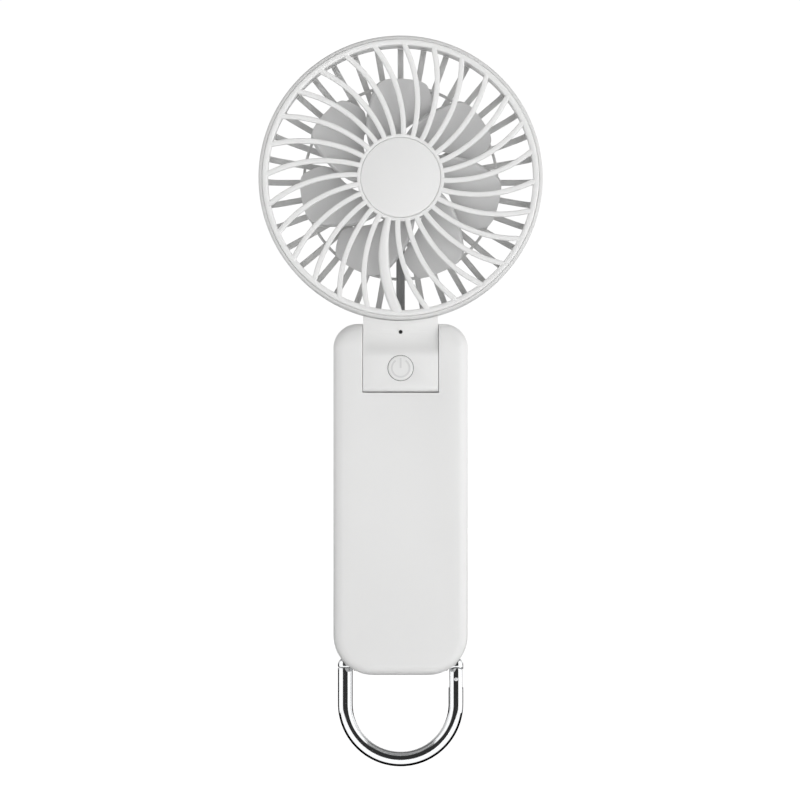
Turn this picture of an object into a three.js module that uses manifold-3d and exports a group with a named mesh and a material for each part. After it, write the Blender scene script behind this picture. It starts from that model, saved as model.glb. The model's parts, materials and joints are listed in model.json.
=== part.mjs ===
// Handheld electric fan with a folding head, a push button, and a carabiner ring at its tail.
// Millimetres, +Z up. The front faces -Y, +X is to the right seen from the front, and the origin is
// the centre of the handle's flat back face.
import * as THREE from 'three';
import { mergeVertices } from 'three/addons/utils/BufferGeometryUtils.js';
import Module from 'manifold-3d';

const wasm = await Module();
wasm.setup();

// ---------------------------------------------------------------- driving dimensions
// handle
const earWidth = 9;             // each ear beside the neck; it holds the washers and the pin's end
const handleHeight = 105.7;
const handleDepth = 22;
const shellWall = 1.8;
const topCorner = 7.2;
const bottomCorner = 12;
const frontEdge = 3.2;
const backEdge = 4.5;
const partingDepth = 10;        // parting plane in front of the back face; the hinge axis lies on it

// clearances
const seamGap = 0.2;            // between two covers
const fitGap = 0.3;             // between pieces that move or seat
const closeGap = 0.15;          // between a pin or a screw and its hole
const cellGap = 0.1;            // between the battery and the posts beside it

// hinge and neck
const neckWidth = 22.4;
const neckWall = 1.6;
const barrelRadius = 9.8;       // rear of the neck, round about the hinge axis
const neckFloorGap = 0.4;
const hingeDrop = 10.45;        // hinge axis below the top of the handle
const pinRadius = 1.5;
const pinHeadRadius = 2.8;
const hingeBossRadius = 3.4;
const washerThickness = 0.6;

// head
const headRadius = 42.6;
const headReach = 11.5;         // hinge axis to the rim of the head
const headFront = 25;           // front of the grille, in front of the handle's back face
const headBack = 2;             // back of the rear grille, behind the handle's back face
const rimThickness = 1.1;
const grilleRimWidth = 1.75;
const cageWall = 2;
const frontRibCount = 28;
const frontRibWidth = 1.3;
const frontRibDepth = 2;
const thickRib = 19;            // the one wide rib, which marks the bottom of the grille
const rearSpokeCount = 36;
const rearSpokeWidth = 1.5;
const rearSpokeThickness = 1.7;
const hubRadius = 13.1;
const hubCapRadius = 11.85;
const motorSeatRadius = 12.4;

// impeller and motor
const bladeCount = 7;
const bladeTipRadius = 30.5;
const bladeThickness = 1.6;
const bladePhase = 37.5;        // angle of the first blade's middle
const rotorHubRadius = 12.2;
const rotorHubWall = 1.2;
const shaftRadius = 1;
const bearingRadius = 2.6;

// button and board
const buttonRadius = 3.75;
const buttonDrop = 2.9;         // button centre below the hinge axis
const buttonTravel = 0.6;
const indicatorRadius = 0.45;
const indicatorRise = 8;        // indicator above the hinge axis

// power
const batteryDepth = 12.4;
const boardHeight = 19;
const usbSize = { width: 9, depth: 3.2, height: 7.3 };

// carabiner ring
const ringTubeRadius = 2.25;
const ringOuterRadius = 19.1;
const ringAxisRise = 2.2;       // gate axis above the bottom of the handle
const ringAxisDepth = 6;        // gate axis in front of the back face
const ringStraight = 11.95;     // gate axis to the start of the round end
const gateBarRadius = 1.2;
const gateCollarRadius = 1.9;
const rivetDrop = 4.35;         // rivet below the gate axis
const rivetRadius = 0.6;
const tongueThickness = 1.4;
const tongueHalf = 2;
const crownRadius = 3.4;        // round top of the fork, about the rivet
const tailLugHalf = 7;
const tailRecessHeight = 9.55;

// ---------------------------------------------------------------- places worked out from them
const handleWidth = neckWidth + 2 * earWidth;
const handleTop = handleHeight / 2;
const handleBottom = -handleHeight / 2;
const partingY = -partingDepth;
const frontPart = partingY - seamGap / 2;
const backPart = partingY + seamGap / 2;
const hingeZ = handleTop - hingeDrop;
const notchHalf = neckWidth / 2 + fitGap;
const notchFloor = hingeZ - barrelRadius - neckFloorGap;
const headZ = hingeZ + headReach + headRadius;
const pinHole = pinRadius + fitGap;
const tailTop = handleBottom + tailRecessHeight;
const ringY = -ringAxisDepth;
const ringAxisZ = handleBottom + ringAxisRise;
const legX = ringOuterRadius - ringTubeRadius;
const rivetZ = ringAxisZ - rivetDrop;
const far = 400;                // beyond everything, for cutting blocks

// ---------------------------------------------------------------- solids from geometries
// A closed geometry as a solid: shared vertices merged, collapsed triangles dropped, faces outwards.
function solid(geometry) {
  const bare = geometry.index ? geometry.toNonIndexed() : geometry.clone();
  bare.deleteAttribute('normal');
  bare.deleteAttribute('uv');
  const merged = mergeVertices(bare, 1e-4);
  const points = merged.attributes.position.array;
  const source = merged.index.array;
  const corners = [];
  let volume = 0;
  const a = new THREE.Vector3();
  const b = new THREE.Vector3();
  const c = new THREE.Vector3();
  for (let i = 0; i < source.length; i += 3) {
    const [p, q, r] = [source[i], source[i + 1], source[i + 2]];
    if (p === q || q === r || r === p) continue;
    corners.push(p, q, r);
    a.fromArray(points, 3 * p);
    b.fromArray(points, 3 * q);
    c.fromArray(points, 3 * r);
    volume += a.dot(b.cross(c));
  }
  if (volume < 0) {
    for (let i = 0; i < corners.length; i += 3) {
      [corners[i], corners[i + 1]] = [corners[i + 1], corners[i]];
    }
  }
  const mesh = new wasm.Mesh({
    numProp: 3,
    vertProperties: Float32Array.from(points),
    triVerts: Uint32Array.from(corners),
  });
  return new wasm.Manifold(mesh);
}

const join = (first, ...rest) => rest.reduce((whole, piece) => whole.add(piece), first);
const cut = (first, ...rest) => rest.reduce((whole, piece) => whole.subtract(piece), first);

function block(x0, x1, y0, y1, z0, z1) {
  const geometry = new THREE.BoxGeometry(x1 - x0, y1 - y0, z1 - z0);
  return solid(geometry.translate((x0 + x1) / 2, (y0 + y1) / 2, (z0 + z1) / 2));
}

function rodX(radius, x0, x1, y, z, sides = 16) {
  const geometry = new THREE.CylinderGeometry(radius, radius, x1 - x0, sides).rotateZ(Math.PI / 2);
  return solid(geometry.translate((x0 + x1) / 2, y, z));
}

function rodY(radius, y0, y1, x, z, sides = 16) {
  const geometry = new THREE.CylinderGeometry(radius, radius, y1 - y0, sides);
  return solid(geometry.translate(x, (y0 + y1) / 2, z));
}

function rodZ(radius, z0, z1, x, y, sides = 16) {
  const geometry = new THREE.CylinderGeometry(radius, radius, z1 - z0, sides).rotateX(Math.PI / 2);
  return solid(geometry.translate(x, y, (z0 + z1) / 2));
}

// A ring or a disc turned about the fan's axis; the profile is a list of [radius, y]. Its corners
// stand half a step off the axes, so that spokes cross the middle of a side.
function turned(profile, sides = 36) {
  const points = profile.map(([radius, y]) => new THREE.Vector2(radius, y));
  if (profile[0][0] > 0) points.push(points[0].clone());
  return solid(new THREE.LatheGeometry(points, sides, Math.PI / sides).translate(0, 0, headZ));
}

const tube = (inner, outer, y0, y1, sides = 32) =>
  turned([[inner, y0], [outer, y0], [outer, y1], [inner, y1]], sides);

// An outline drawn in X and Z and carried back from yFront to yBack, its edges rounded by `edge`.
function plateXZ(outline, yFront, yBack, edge = 0, curveSegments = 3) {
  const geometry = new THREE.ExtrudeGeometry(outline, {
    depth: yBack - yFront - 2 * edge,
    bevelEnabled: edge > 0,
    bevelThickness: edge,
    bevelSize: edge,
    bevelOffset: -edge,
    bevelSegments: 3,
    curveSegments,
  });
  const axes = new THREE.Matrix4().makeBasis(
    new THREE.Vector3(1, 0, 0), new THREE.Vector3(0, 0, 1), new THREE.Vector3(0, -1, 0));
  return solid(geometry.applyMatrix4(axes).translate(0, yBack - edge, 0));
}

// An outline drawn in Y and Z and carried across from -half to +half in X.
function plateYZ(outline, half, edge = 0) {
  const geometry = new THREE.ExtrudeGeometry(outline, {
    depth: 2 * (half - edge),
    bevelEnabled: edge > 0,
    bevelThickness: edge,
    bevelSize: edge,
    bevelOffset: -edge,
    bevelSegments: 1,
    curveSegments: 5,
  });
  const axes = new THREE.Matrix4().makeBasis(
    new THREE.Vector3(0, 1, 0), new THREE.Vector3(0, 0, 1), new THREE.Vector3(1, 0, 0));
  return solid(geometry.applyMatrix4(axes).translate(edge - half, 0, 0));
}

// A round wire or tube along a curve.
function wire(curve, radius, steps, sides = 8) {
  const section = new THREE.Shape();
  section.absarc(0, 0, radius, 0, 2 * Math.PI);
  return solid(new THREE.ExtrudeGeometry(section, {
    steps, extrudePath: curve, bevelEnabled: false, curveSegments: sides / 2,
  }));
}

// A point on the head at a radius and an angle in degrees, counter-clockwise from +X.
function polar(radius, degrees) {
  const angle = THREE.MathUtils.degToRad(degrees);
  return new THREE.Vector2(radius * Math.cos(angle), radius * Math.sin(angle));
}

// ---------------------------------------------------------------- materials
const finish = (color, roughness, metalness = 0) =>
  new THREE.MeshStandardMaterial({ color, roughness, metalness });
const whitePlastic = finish(0xf1f1ef, 0.45);
const bladePlastic = finish(0xc9cbcb, 0.4);
const darkPlastic = finish(0x1c1d1f, 0.4);
const boardGreen = finish(0x1f5a3a, 0.5);
const steel = finish(0xb9bcc0, 0.3, 1);
const chrome = finish(0xe6e8ea, 0.08, 1);
const copper = finish(0xb87345, 0.35, 1);
const magnetGrey = finish(0x3a3b3d, 0.6);
const batteryBlue = finish(0x4a6f9c, 0.4);
const foamBlack = finish(0x2a2a2c, 0.95);

const fan = new THREE.Group();

function add(name, body, material) {
  const { vertProperties, triVerts } = body.getMesh();
  const geometry = new THREE.BufferGeometry();
  geometry.setAttribute('position', new THREE.BufferAttribute(Float32Array.from(vertProperties), 3));
  geometry.setIndex(new THREE.BufferAttribute(Uint32Array.from(triVerts), 1));
  geometry.computeVertexNormals();
  const mesh = new THREE.Mesh(geometry, material);
  mesh.name = name;
  fan.add(mesh);
}

// A pan-head screw along Y, its head towards +Y, with a crossed slot. `top` is the head's outer face.
function screw(headRadius, headHeight, shankRadius, top, tip, x, z) {
  const seat = top - headHeight;
  const slotWidth = headRadius * 0.3;
  const slotLength = headRadius * 0.65;
  const slotFloor = top - headHeight * 0.5;
  return cut(
    join(rodY(headRadius, seat, top, x, z, 14), rodY(shankRadius, tip, seat + 0.1, x, z, 8)),
    block(x - slotLength, x + slotLength, slotFloor, top + 1, z - slotWidth / 2, z + slotWidth / 2),
    block(x - slotWidth / 2, x + slotWidth / 2, slotFloor, top + 1, z - slotLength, z + slotLength));
}

// ---------------------------------------------------------------- handle
// The handle's outline, drawn in from its true edge by `inset`.
function handleOutline(inset) {
  const side = handleWidth / 2 - inset;
  const top = handleTop - inset;
  const bottom = handleBottom + inset;
  const rTop = topCorner - inset;
  const rBottom = bottomCorner - inset;
  const shape = new THREE.Shape();
  shape.moveTo(-side + rBottom, bottom);
  shape.absarc(side - rBottom, bottom + rBottom, rBottom, -Math.PI / 2, 0);
  shape.absarc(side - rTop, top - rTop, rTop, 0, Math.PI / 2);
  shape.absarc(-side + rTop, top - rTop, rTop, Math.PI / 2, Math.PI);
  shape.absarc(-side + rBottom, bottom + rBottom, rBottom, Math.PI, Math.PI * 1.5);
  return shape;
}

const frontPostRadius = 2.6;
const backPostRadius = 3;
const screwX = handleWidth / 2 - shellWall - 3.8;
const handleScrewPlaces = [
  [screwX, notchFloor - 10.2], [-screwX, notchFloor - 10.2],
  [screwX, tailTop + 9.3], [-screwX, tailTop + 9.3],
];
const handleScrewHead = 1.9;
const handleScrewShank = 0.95;
const handleScrewSeat = -2.2;
const handleScrewTip = -handleDepth + shellWall + 2.5;

const usbFront = -handleDepth + shellWall + 2.3;
const usbBack = usbFront + usbSize.depth;

// The hollow inside both shells: the block less its walls, and clear of the notch and the tail.
function handleHollow(edge, tailFloor) {
  const inner = plateXZ(handleOutline(shellWall), -handleDepth + shellWall, -shellWall,
    Math.max(edge - shellWall, 0.6));
  const notchWall = notchHalf + shellWall;
  return cut(inner,
    block(-notchWall, notchWall, -far, far, notchFloor - shellWall, far),
    tailFloor);
}

function hingeBosses() {
  const inner = notchHalf + 0.5;
  const outer = notchHalf + shellWall + 1.5;
  return join(
    rodX(hingeBossRadius, inner, outer, partingY, hingeZ),
    rodX(hingeBossRadius, -outer, -inner, partingY, hingeZ));
}

const notch = block(-notchHalf, notchHalf, -far, far, notchFloor, far);
const pinBore = rodX(pinHole, -notchHalf - shellWall - 3, notchHalf + shellWall + 3, partingY, hingeZ);

function handleFrontShell() {
  const outer = plateXZ(handleOutline(0), -handleDepth, 0, frontEdge);
  const front = block(-far, far, -far, frontPart, -far, far);
  const lugWall = tailLugHalf - shellWall;
  const tailFloor = cut(
    block(-far, far, frontPart - shellWall, far, -far, tailTop + shellWall),
    block(-lugWall, lugWall, -far, far, -far, far));
  let shell = cut(outer, handleHollow(frontEdge, tailFloor));
  shell = join(shell, hingeBosses());
  for (const [x, z] of handleScrewPlaces) {
    shell = join(shell, rodY(frontPostRadius, -handleDepth + shellWall / 2, frontPart, x, z, 20));
    shell = cut(shell, rodY(handleScrewShank + closeGap, handleScrewTip - 1, far, x, z, 12));
  }
  const slot = block(-usbSize.width / 2 - fitGap, usbSize.width / 2 + fitGap,
    usbFront - fitGap, usbBack + fitGap, handleBottom - 1, handleBottom + shellWall + 1);
  return cut(shell, notch, pinBore, slot).intersect(front);
}

function usbOutline(grow) {
  const half = usbSize.width / 2 + grow;
  const radius = usbSize.depth / 2 + grow;
  const shape = new THREE.Shape();
  shape.absarc(half - radius, 0, radius, -Math.PI / 2, Math.PI / 2);
  shape.absarc(-half + radius, 0, radius, Math.PI / 2, Math.PI * 1.5);
  return shape;
}

function handleBackShell() {
  const outer = plateXZ(handleOutline(0), -handleDepth, 0, backEdge);
  const back = block(-far, far, backPart, far, -far, far);
  const tailBlock = block(-far, far, -far, far, -far, tailTop + shellWall);
  let shell = cut(outer, handleHollow(backEdge, tailBlock));
  shell = join(shell, hingeBosses());
  for (const [x, z] of handleScrewPlaces) {
    shell = join(shell, rodY(backPostRadius, backPart, -shellWall / 2, x, z, 20));
    shell = cut(shell,
      rodY(handleScrewShank + fitGap, -far, far, x, z, 12),
      rodY(handleScrewHead + fitGap, handleScrewSeat, far, x, z, 20));
  }
  const recess = [-1, 1].map((side) => block(
    side < 0 ? -far : tailLugHalf, side < 0 ? -tailLugHalf : far, backPart - 1, far, -far, tailTop));
  const gateBore = rodX(gateBarRadius + fitGap, -far, far, ringY, ringAxisZ);
  return cut(shell, notch, pinBore, ...recess, gateBore).intersect(back);
}

add('handle_front_shell', handleFrontShell(), whitePlastic);
add('handle_back_shell', handleBackShell(), whitePlastic);
handleScrewPlaces.forEach(([x, z], i) => {
  add(`handle_screw_${i + 1}`, screw(handleScrewHead, 1.2, handleScrewShank,
    handleScrewSeat + closeGap + 1.2, handleScrewTip, x, z), steel);
});

// ---------------------------------------------------------------- power inside the handle
const boardFront = usbBack + closeGap;
const boardBack = boardFront + 1;
const boardBottom = handleBottom + shellWall + fitGap + 0.6;
const boardTop = boardBottom + boardHeight;
const batteryHalf = screwX - backPostRadius - cellGap;
const batteryTop = notchFloor - shellWall - 3;
const batteryBottom = boardTop + 2.5;
const batteryFront = -handleDepth / 2 - batteryDepth / 2 - 0.4;
const batteryBack = batteryFront + batteryDepth;
const padInset = 1.5;

function battery() {
  const half = batteryHalf;
  const outline = new THREE.Shape();
  const corner = 1.5;
  outline.moveTo(-half + corner, batteryBottom);
  outline.absarc(half - corner, batteryBottom + corner, corner, -Math.PI / 2, 0);
  outline.absarc(half - corner, batteryTop - corner, corner, 0, Math.PI / 2);
  outline.absarc(-half + corner, batteryTop - corner, corner, Math.PI / 2, Math.PI);
  outline.absarc(-half + corner, batteryBottom + corner, corner, Math.PI, Math.PI * 1.5);
  return plateXZ(outline, batteryFront, batteryBack, 0.8, 2);
}

function foamPad(y0, y1) {
  const half = batteryHalf - padInset;
  return block(-half, half, y0, y1, batteryBottom + padInset, batteryTop - padInset);
}

add('battery', battery(), batteryBlue);
add('battery_front_pad', foamPad(-handleDepth + shellWall + closeGap, batteryFront - closeGap), foamBlack);
add('battery_back_pad', foamPad(batteryBack + closeGap, -shellWall - closeGap), foamBlack);
add('control_board', block(-9, 9, boardFront, boardBack, boardBottom, boardTop), boardGreen);

function usbSocket() {
  const bottom = handleBottom + 0.4;
  const top = bottom + usbSize.height;
  const middle = (usbFront + usbBack) / 2;
  const turn = (shape, z0, z1) => {
    const geometry = new THREE.ExtrudeGeometry(shape, {
      depth: z1 - z0, bevelEnabled: false, curveSegments: 4,
    });
    return solid(geometry.translate(0, middle, z0));
  };
  return cut(turn(usbOutline(0), bottom, top), turn(usbOutline(-0.35), bottom - 1, top - 1.2));
}

function usbTongue() {
  const bottom = handleBottom + 1.2;
  const middle = (usbFront + usbBack) / 2;
  return block(-3.2, 3.2, middle - 0.35, middle + 0.35, bottom, handleBottom + usbSize.height - 1);
}

add('usb_c_socket', usbSocket(), steel);
add('usb_c_tongue', usbTongue(), darkPlastic);

const batteryLeadRoute = new THREE.CatmullRomCurve3([
  new THREE.Vector3(6, batteryBack - 2, batteryBottom - fitGap),
  new THREE.Vector3(6, batteryBack - 2.2, batteryBottom - 2),
  new THREE.Vector3(5, boardBack + 2, batteryBottom - 4.5),
  new THREE.Vector3(4, boardBack + 1.1, batteryBottom - 7),
]);
add('battery_lead', wire(batteryLeadRoute, 0.7, 8), darkPlastic);

// ---------------------------------------------------------------- hinge pin and its washers
const earInside = notchHalf + shellWall + 1.5;
const washerIn = earInside + closeGap;
const washerOut = washerIn + washerThickness;
const pinHeadIn = washerOut + closeGap;
const pinHeadOut = pinHeadIn + 1;

add('hinge_pin', join(
  rodX(pinRadius, -pinHeadOut - 0.6, pinHeadIn + 0.2, partingY, hingeZ),
  rodX(pinHeadRadius, pinHeadIn, pinHeadOut, partingY, hingeZ)), steel);
for (const [name, x0, x1] of [
  ['friction_washer_right', washerIn, washerOut],
  ['friction_washer_left', -washerOut, -washerIn],
  ['pin_retaining_ring', -pinHeadOut, -pinHeadIn],
]) {
  add(name, cut(rodX(pinHeadRadius, x0, x1, partingY, hingeZ),
    rodX(pinRadius + closeGap, x0 - 1, x1 + 1, partingY, hingeZ)), steel);
}

// ---------------------------------------------------------------- neck
const scoopFoot = hingeZ + 1.9;
const scoopTop = hingeZ + 11.5;
const neckTop = headZ - headRadius + 0.1;     // above this the neck is hollowed for the tang
const tangHalf = 8;
const tangFront = partingY - 3.4;
const tangBack = -3;
const tangBottom = hingeZ + hingeBossRadius + 0.7;

// Side outline of the neck: a flat front, a hollow scoop above it, and a round rear about the hinge.
function neckOutline(inset) {
  const front = -handleDepth + inset;
  const shoulder = front + 4;
  const radius = barrelRadius - inset;
  const corner = Math.max(1.2 - inset, 0.1);
  const top = inset > 0 ? neckTop - inset : headZ;
  const bottom = hingeZ - radius;
  const shape = new THREE.Shape();
  shape.moveTo(front + corner, bottom);
  shape.absarc(partingY, hingeZ, radius, -Math.PI / 2, 0);
  shape.lineTo(partingY + radius, top);
  shape.lineTo(shoulder, top);
  shape.lineTo(shoulder, scoopTop - inset);
  shape.quadraticCurveTo(shoulder - 0.6, scoopFoot + 1.9 - inset, front, scoopFoot - inset);
  shape.lineTo(front, bottom + corner);
  shape.absarc(front + corner, bottom + corner, corner, Math.PI, Math.PI * 1.5);
  return shape;
}

const neckScrewX = neckWidth / 2 - neckWall - 1.7;
const neckScrewZ = hingeZ - 5.9;
const neckScrewSeat = -5;
const tangScrewX = 5;
const tangScrewZ = hingeZ + 7.6;
const tangScrewSeat = -1.3;
const buttonZ = hingeZ - buttonDrop;
const indicatorZ = hingeZ + indicatorRise;

function neckBlock() {
  const half = neckWidth / 2;
  let body = cut(plateYZ(neckOutline(0), half, 0.5), plateYZ(neckOutline(neckWall), half - neckWall));
  body = join(body, rodX(hingeBossRadius, -half + 0.6, half - 0.6, partingY, hingeZ));
  for (const side of [-1, 1]) {
    body = join(body, rodY(2, -handleDepth + neckWall / 2, neckScrewSeat + 0.5, side * neckScrewX, neckScrewZ, 16));
    body = join(body, rodY(2.2, tangBack + fitGap, -barrelRadius * 0.05, side * tangScrewX, tangScrewZ, 16));
  }
  const hingeBore = rodX(pinHole, -half - 1, half + 1, partingY, hingeZ);
  const headClearance = rodY(headRadius + 0.4, -far, far, 0, headZ, 64);
  const tangPocket = block(-tangHalf - fitGap, tangHalf + fitGap,
    tangFront - fitGap, tangBack + fitGap, tangBottom - fitGap, far);
  return cut(body, hingeBore, headClearance, tangPocket);
}

function neckFrontCover() {
  const front = block(-far, far, -far, frontPart, -far, far);
  let cover = neckBlock().intersect(front);
  for (const side of [-1, 1]) {
    cover = cut(cover, rodY(0.8 + closeGap, -handleDepth + 3, far, side * neckScrewX, neckScrewZ, 12));
  }
  return cut(cover,
    rodY(buttonRadius + 0.25, -far, -handleDepth + neckWall + 1, 0, buttonZ, 28),
    rodY(indicatorRadius + closeGap, -far, partingY - 4.5, 0, indicatorZ, 12));
}

function neckBackCover() {
  const back = block(-far, far, backPart, far, -far, far);
  let cover = neckBlock().intersect(back);
  for (const side of [-1, 1]) {
    cover = cut(cover,
      rodY(0.8 + fitGap, -far, far, side * neckScrewX, neckScrewZ, 12),
      rodY(1.6 + fitGap, neckScrewSeat, far, side * neckScrewX, neckScrewZ, 20),
      rodY(0.8 + fitGap, -far, far, side * tangScrewX, tangScrewZ, 12),
      rodY(1.5 + fitGap, tangScrewSeat, far, side * tangScrewX, tangScrewZ, 20));
  }
  return cover;
}

add('neck_front_cover', neckFrontCover(), whitePlastic);
add('neck_back_cover', neckBackCover(), whitePlastic);
[-1, 1].forEach((side, i) => {
  add(`neck_screw_${i + 1}`, screw(1.6, 1.1, 0.8,
    neckScrewSeat + closeGap + 1.1, -handleDepth + 4, side * neckScrewX, neckScrewZ), steel);
  add(`head_screw_${i + 1}`, screw(1.5, 0.85, 0.8,
    tangScrewSeat + closeGap + 0.85, tangFront + 3.5, side * tangScrewX, tangScrewZ), steel);
});

// power button, its switch and board, and the indicator
const buttonFace = -handleDepth - 0.15;
const flangeFront = -handleDepth + neckWall + fitGap;
const flangeBack = flangeFront + 0.9;
const stemBack = flangeBack + 0.4;
const plungerFront = stemBack + buttonTravel + 0.2;
const switchFront = plungerFront + 0.6;
const switchBack = switchFront + 2;

add('power_button', join(
  rodY(buttonRadius, buttonFace, flangeBack, 0, buttonZ, 28),
  block(-buttonRadius - 1.1, buttonRadius + 1.1, flangeFront, flangeBack, buttonZ - 2, buttonZ + 2),
  rodY(1.5, flangeBack - 0.1, stemBack, 0, buttonZ, 16)), whitePlastic);
add('tact_switch', join(
  block(-3, 3, switchFront, switchBack, buttonZ - 3, buttonZ + 3),
  rodY(1.7, plungerFront, switchFront + 0.1, 0, buttonZ, 16)), darkPlastic);
add('button_board', block(-5.2, 5.2, switchBack + closeGap, switchBack + closeGap + 1,
  hingeZ - barrelRadius + neckWall + fitGap + 0.3, neckTop - neckWall - 0.8), boardGreen);
add('indicator_lens', rodY(indicatorRadius, -handleDepth + 3.9, switchBack - 0.1, 0, indicatorZ, 12), darkPlastic);

// ---------------------------------------------------------------- head: rim and rear grille
const rearFace = headBack;
const spokeFront = headBack - rearSpokeThickness;
const wallBack = headBack - 6.6;
const cageInner = headRadius - cageWall;
const grilleOuter = headRadius - rimThickness - closeGap;
const grilleShelf = -headFront + 4.3;
const lapDepth = 1.2;
const bandOuter = cageInner + 1;      // band of the rear grille, lapped inside the back of the rim

// One spoke from `start` out to the band, into which it curves forward, at an angle in degrees.
function rearSpoke(start, width, degrees) {
  const bend = headRadius - 7.1;
  const shape = new THREE.Shape();
  shape.moveTo(start, rearFace);
  shape.lineTo(bend, rearFace);
  shape.quadraticCurveTo(bandOuter - 0.5, rearFace, bandOuter - 0.3, wallBack);
  shape.lineTo(cageInner + 0.1, wallBack);
  shape.quadraticCurveTo(cageInner - 0.2, spokeFront, bend - 0.2, spokeFront);
  shape.lineTo(start, spokeFront);
  const geometry = new THREE.ExtrudeGeometry(shape, {
    depth: width, bevelEnabled: false, curveSegments: 3,
  });
  geometry.translate(0, 0, -width / 2).rotateY(THREE.MathUtils.degToRad(-degrees));
  return solid(geometry.translate(0, 0, headZ));
}

const innerRing = 19;
const middleRing = 29.6;
const armCount = 6;
const motorScrewCircle = 7;
const motorScrewAngles = [90, 210, 330];
const motorScrewHead = 1.3;
const motorScrewShank = 0.6;
const leadY = -8;

const leadHole = rodZ(1.3, tangBottom - 1, headZ - cageInner + 4, 0, leadY, 16);

// The side wall of the head, with the tang that goes down into the neck.
function headRim() {
  const wall = turned([
    [headRadius - rimThickness, 0.6 - headFront], [headRadius - 0.4, 0.6 - headFront],
    [headRadius, 1 - headFront], [headRadius, wallBack - 0.3], [headRadius - 0.3, wallBack],
    [bandOuter + closeGap, wallBack], [bandOuter + closeGap, wallBack - lapDepth - closeGap],
    [cageInner, wallBack - lapDepth - closeGap], [cageInner, grilleShelf],
    [headRadius - rimThickness, grilleShelf],
  ]);
  let rim = join(wall, cut(
    block(-tangHalf, tangHalf, tangFront, tangBack, tangBottom, headZ - cageInner + 2),
    rodY(bandOuter + 0.4, -far, far, 0, headZ, 96)));
  for (const side of [-1, 1]) {
    rim = cut(rim, rodY(0.8 + closeGap, tangFront + 2.5, far, side * tangScrewX, tangScrewZ, 12));
  }
  return cut(rim, leadHole);
}

function rearGrille() {
  let cage = turned([
    [cageInner, wallBack - lapDepth], [bandOuter, wallBack - lapDepth],
    [bandOuter, wallBack + 0.9], [bandOuter - 0.3, wallBack + 1.2], [cageInner, wallBack + 1.2],
  ]);
  for (let i = 0; i < rearSpokeCount; i += 1) {
    const degrees = i * 360 / rearSpokeCount;
    if (degrees === 270) continue;
    cage = join(cage, rearSpoke(innerRing - 0.1, rearSpokeWidth, degrees));
  }
  cage = join(cage,
    rearSpoke(motorSeatRadius - 1, 2.7, 270),
    tube(innerRing - 0.6, innerRing + 0.6, spokeFront, rearFace, 36),
    tube(middleRing - 0.43, middleRing + 0.43, spokeFront - 0.1, rearFace - 0.6, 36),
    turned([[0, -1.2], [motorSeatRadius, -1.2], [motorSeatRadius, rearFace - 0.4],
      [motorSeatRadius - 0.4, rearFace], [0, rearFace]], 36));
  for (let i = 0; i < armCount; i += 1) {
    const arm = new THREE.BoxGeometry(innerRing - motorSeatRadius + 1.6, rearSpokeThickness, 2.2);
    arm.translate((innerRing + motorSeatRadius) / 2 - 0.4, (spokeFront + rearFace) / 2, 0);
    arm.rotateY(THREE.MathUtils.degToRad(-(30 + i * 360 / armCount)));
    cage = join(cage, solid(arm.translate(0, 0, headZ)));
  }
  for (const angle of motorScrewAngles) {
    const place = polar(motorScrewCircle, angle);
    cage = cut(cage,
      rodY(motorScrewShank + fitGap, -far, far, place.x, headZ + place.y, 12),
      rodY(motorScrewHead + fitGap, rearFace - 1.1, far, place.x, headZ + place.y, 16));
  }
  return cut(cage, leadHole);
}

add('head_rim', headRim(), whitePlastic);
add('rear_grille', rearGrille(), whitePlastic);

// ---------------------------------------------------------------- head: front grille
const ribInner = 13.5;
const ribOuter = 39.9;
const ribSweep = 15;

// Centre line of a front rib: straight out of the hub, then swept ever more to one side.
function ribAngle(radius, hubAngle) {
  const share = THREE.MathUtils.clamp((radius - ribInner) / (ribOuter - ribInner), 0, 1);
  return hubAngle + ribSweep * Math.pow(share, 1.35);
}

function frontRib(hubAngle, hubWidth, rimWidth, yFront) {
  const start = hubRadius - 0.5;
  const end = grilleOuter - grilleRimWidth + 0.4;
  const samples = 5;
  const left = [];
  const right = [];
  for (let i = 0; i <= samples; i += 1) {
    const radius = start + (end - start) * i / samples;
    const here = polar(radius, ribAngle(radius, hubAngle));
    const ahead = polar(radius + 0.2, ribAngle(radius + 0.2, hubAngle));
    const side = ahead.sub(here).normalize();
    const width = THREE.MathUtils.lerp(hubWidth, rimWidth, Math.min(1, 2.5 * i / samples));
    left.push(new THREE.Vector2(here.x - side.y * width / 2, headZ + here.y + side.x * width / 2));
    right.push(new THREE.Vector2(here.x + side.y * width / 2, headZ + here.y - side.x * width / 2));
  }
  return plateXZ(new THREE.Shape([...right, ...left.reverse()]), yFront, -headFront + frontRibDepth);
}

function frontGrille() {
  const inner = grilleOuter - grilleRimWidth;
  let grille = turned([
    [inner, -headFront], [grilleOuter - 0.4, -headFront], [grilleOuter, 0.4 - headFront],
    [grilleOuter, grilleShelf - closeGap], [inner, grilleShelf - closeGap],
  ]);
  for (let i = 0; i < frontRibCount; i += 1) {
    const hubAngle = 9.2 + i * 360 / frontRibCount;
    const rib = i === thickRib
      ? frontRib(hubAngle, 1.9, 3.2, -headFront - 0.4)
      : frontRib(hubAngle, frontRibWidth, frontRibWidth, -headFront);
    grille = join(grille, rib);
  }
  return join(grille, turned([
    [0, 1.3 - headFront], [hubCapRadius + 0.2, 1.3 - headFront], [hubCapRadius + 0.2, 0.1 - headFront],
    [hubRadius - 0.3, -headFront], [hubRadius, 0.3 - headFront], [hubRadius, 2.4 - headFront],
    [0, 2.4 - headFront],
  ], 48));
}

add('front_grille', frontGrille(), whitePlastic);
add('hub_cap', turned([
  [0, 0.05 - headFront], [hubCapRadius - 0.2, 0.05 - headFront], [hubCapRadius, 0.25 - headFront],
  [hubCapRadius, 1.1 - headFront], [0, 1.1 - headFront],
], 40), whitePlastic);

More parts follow.
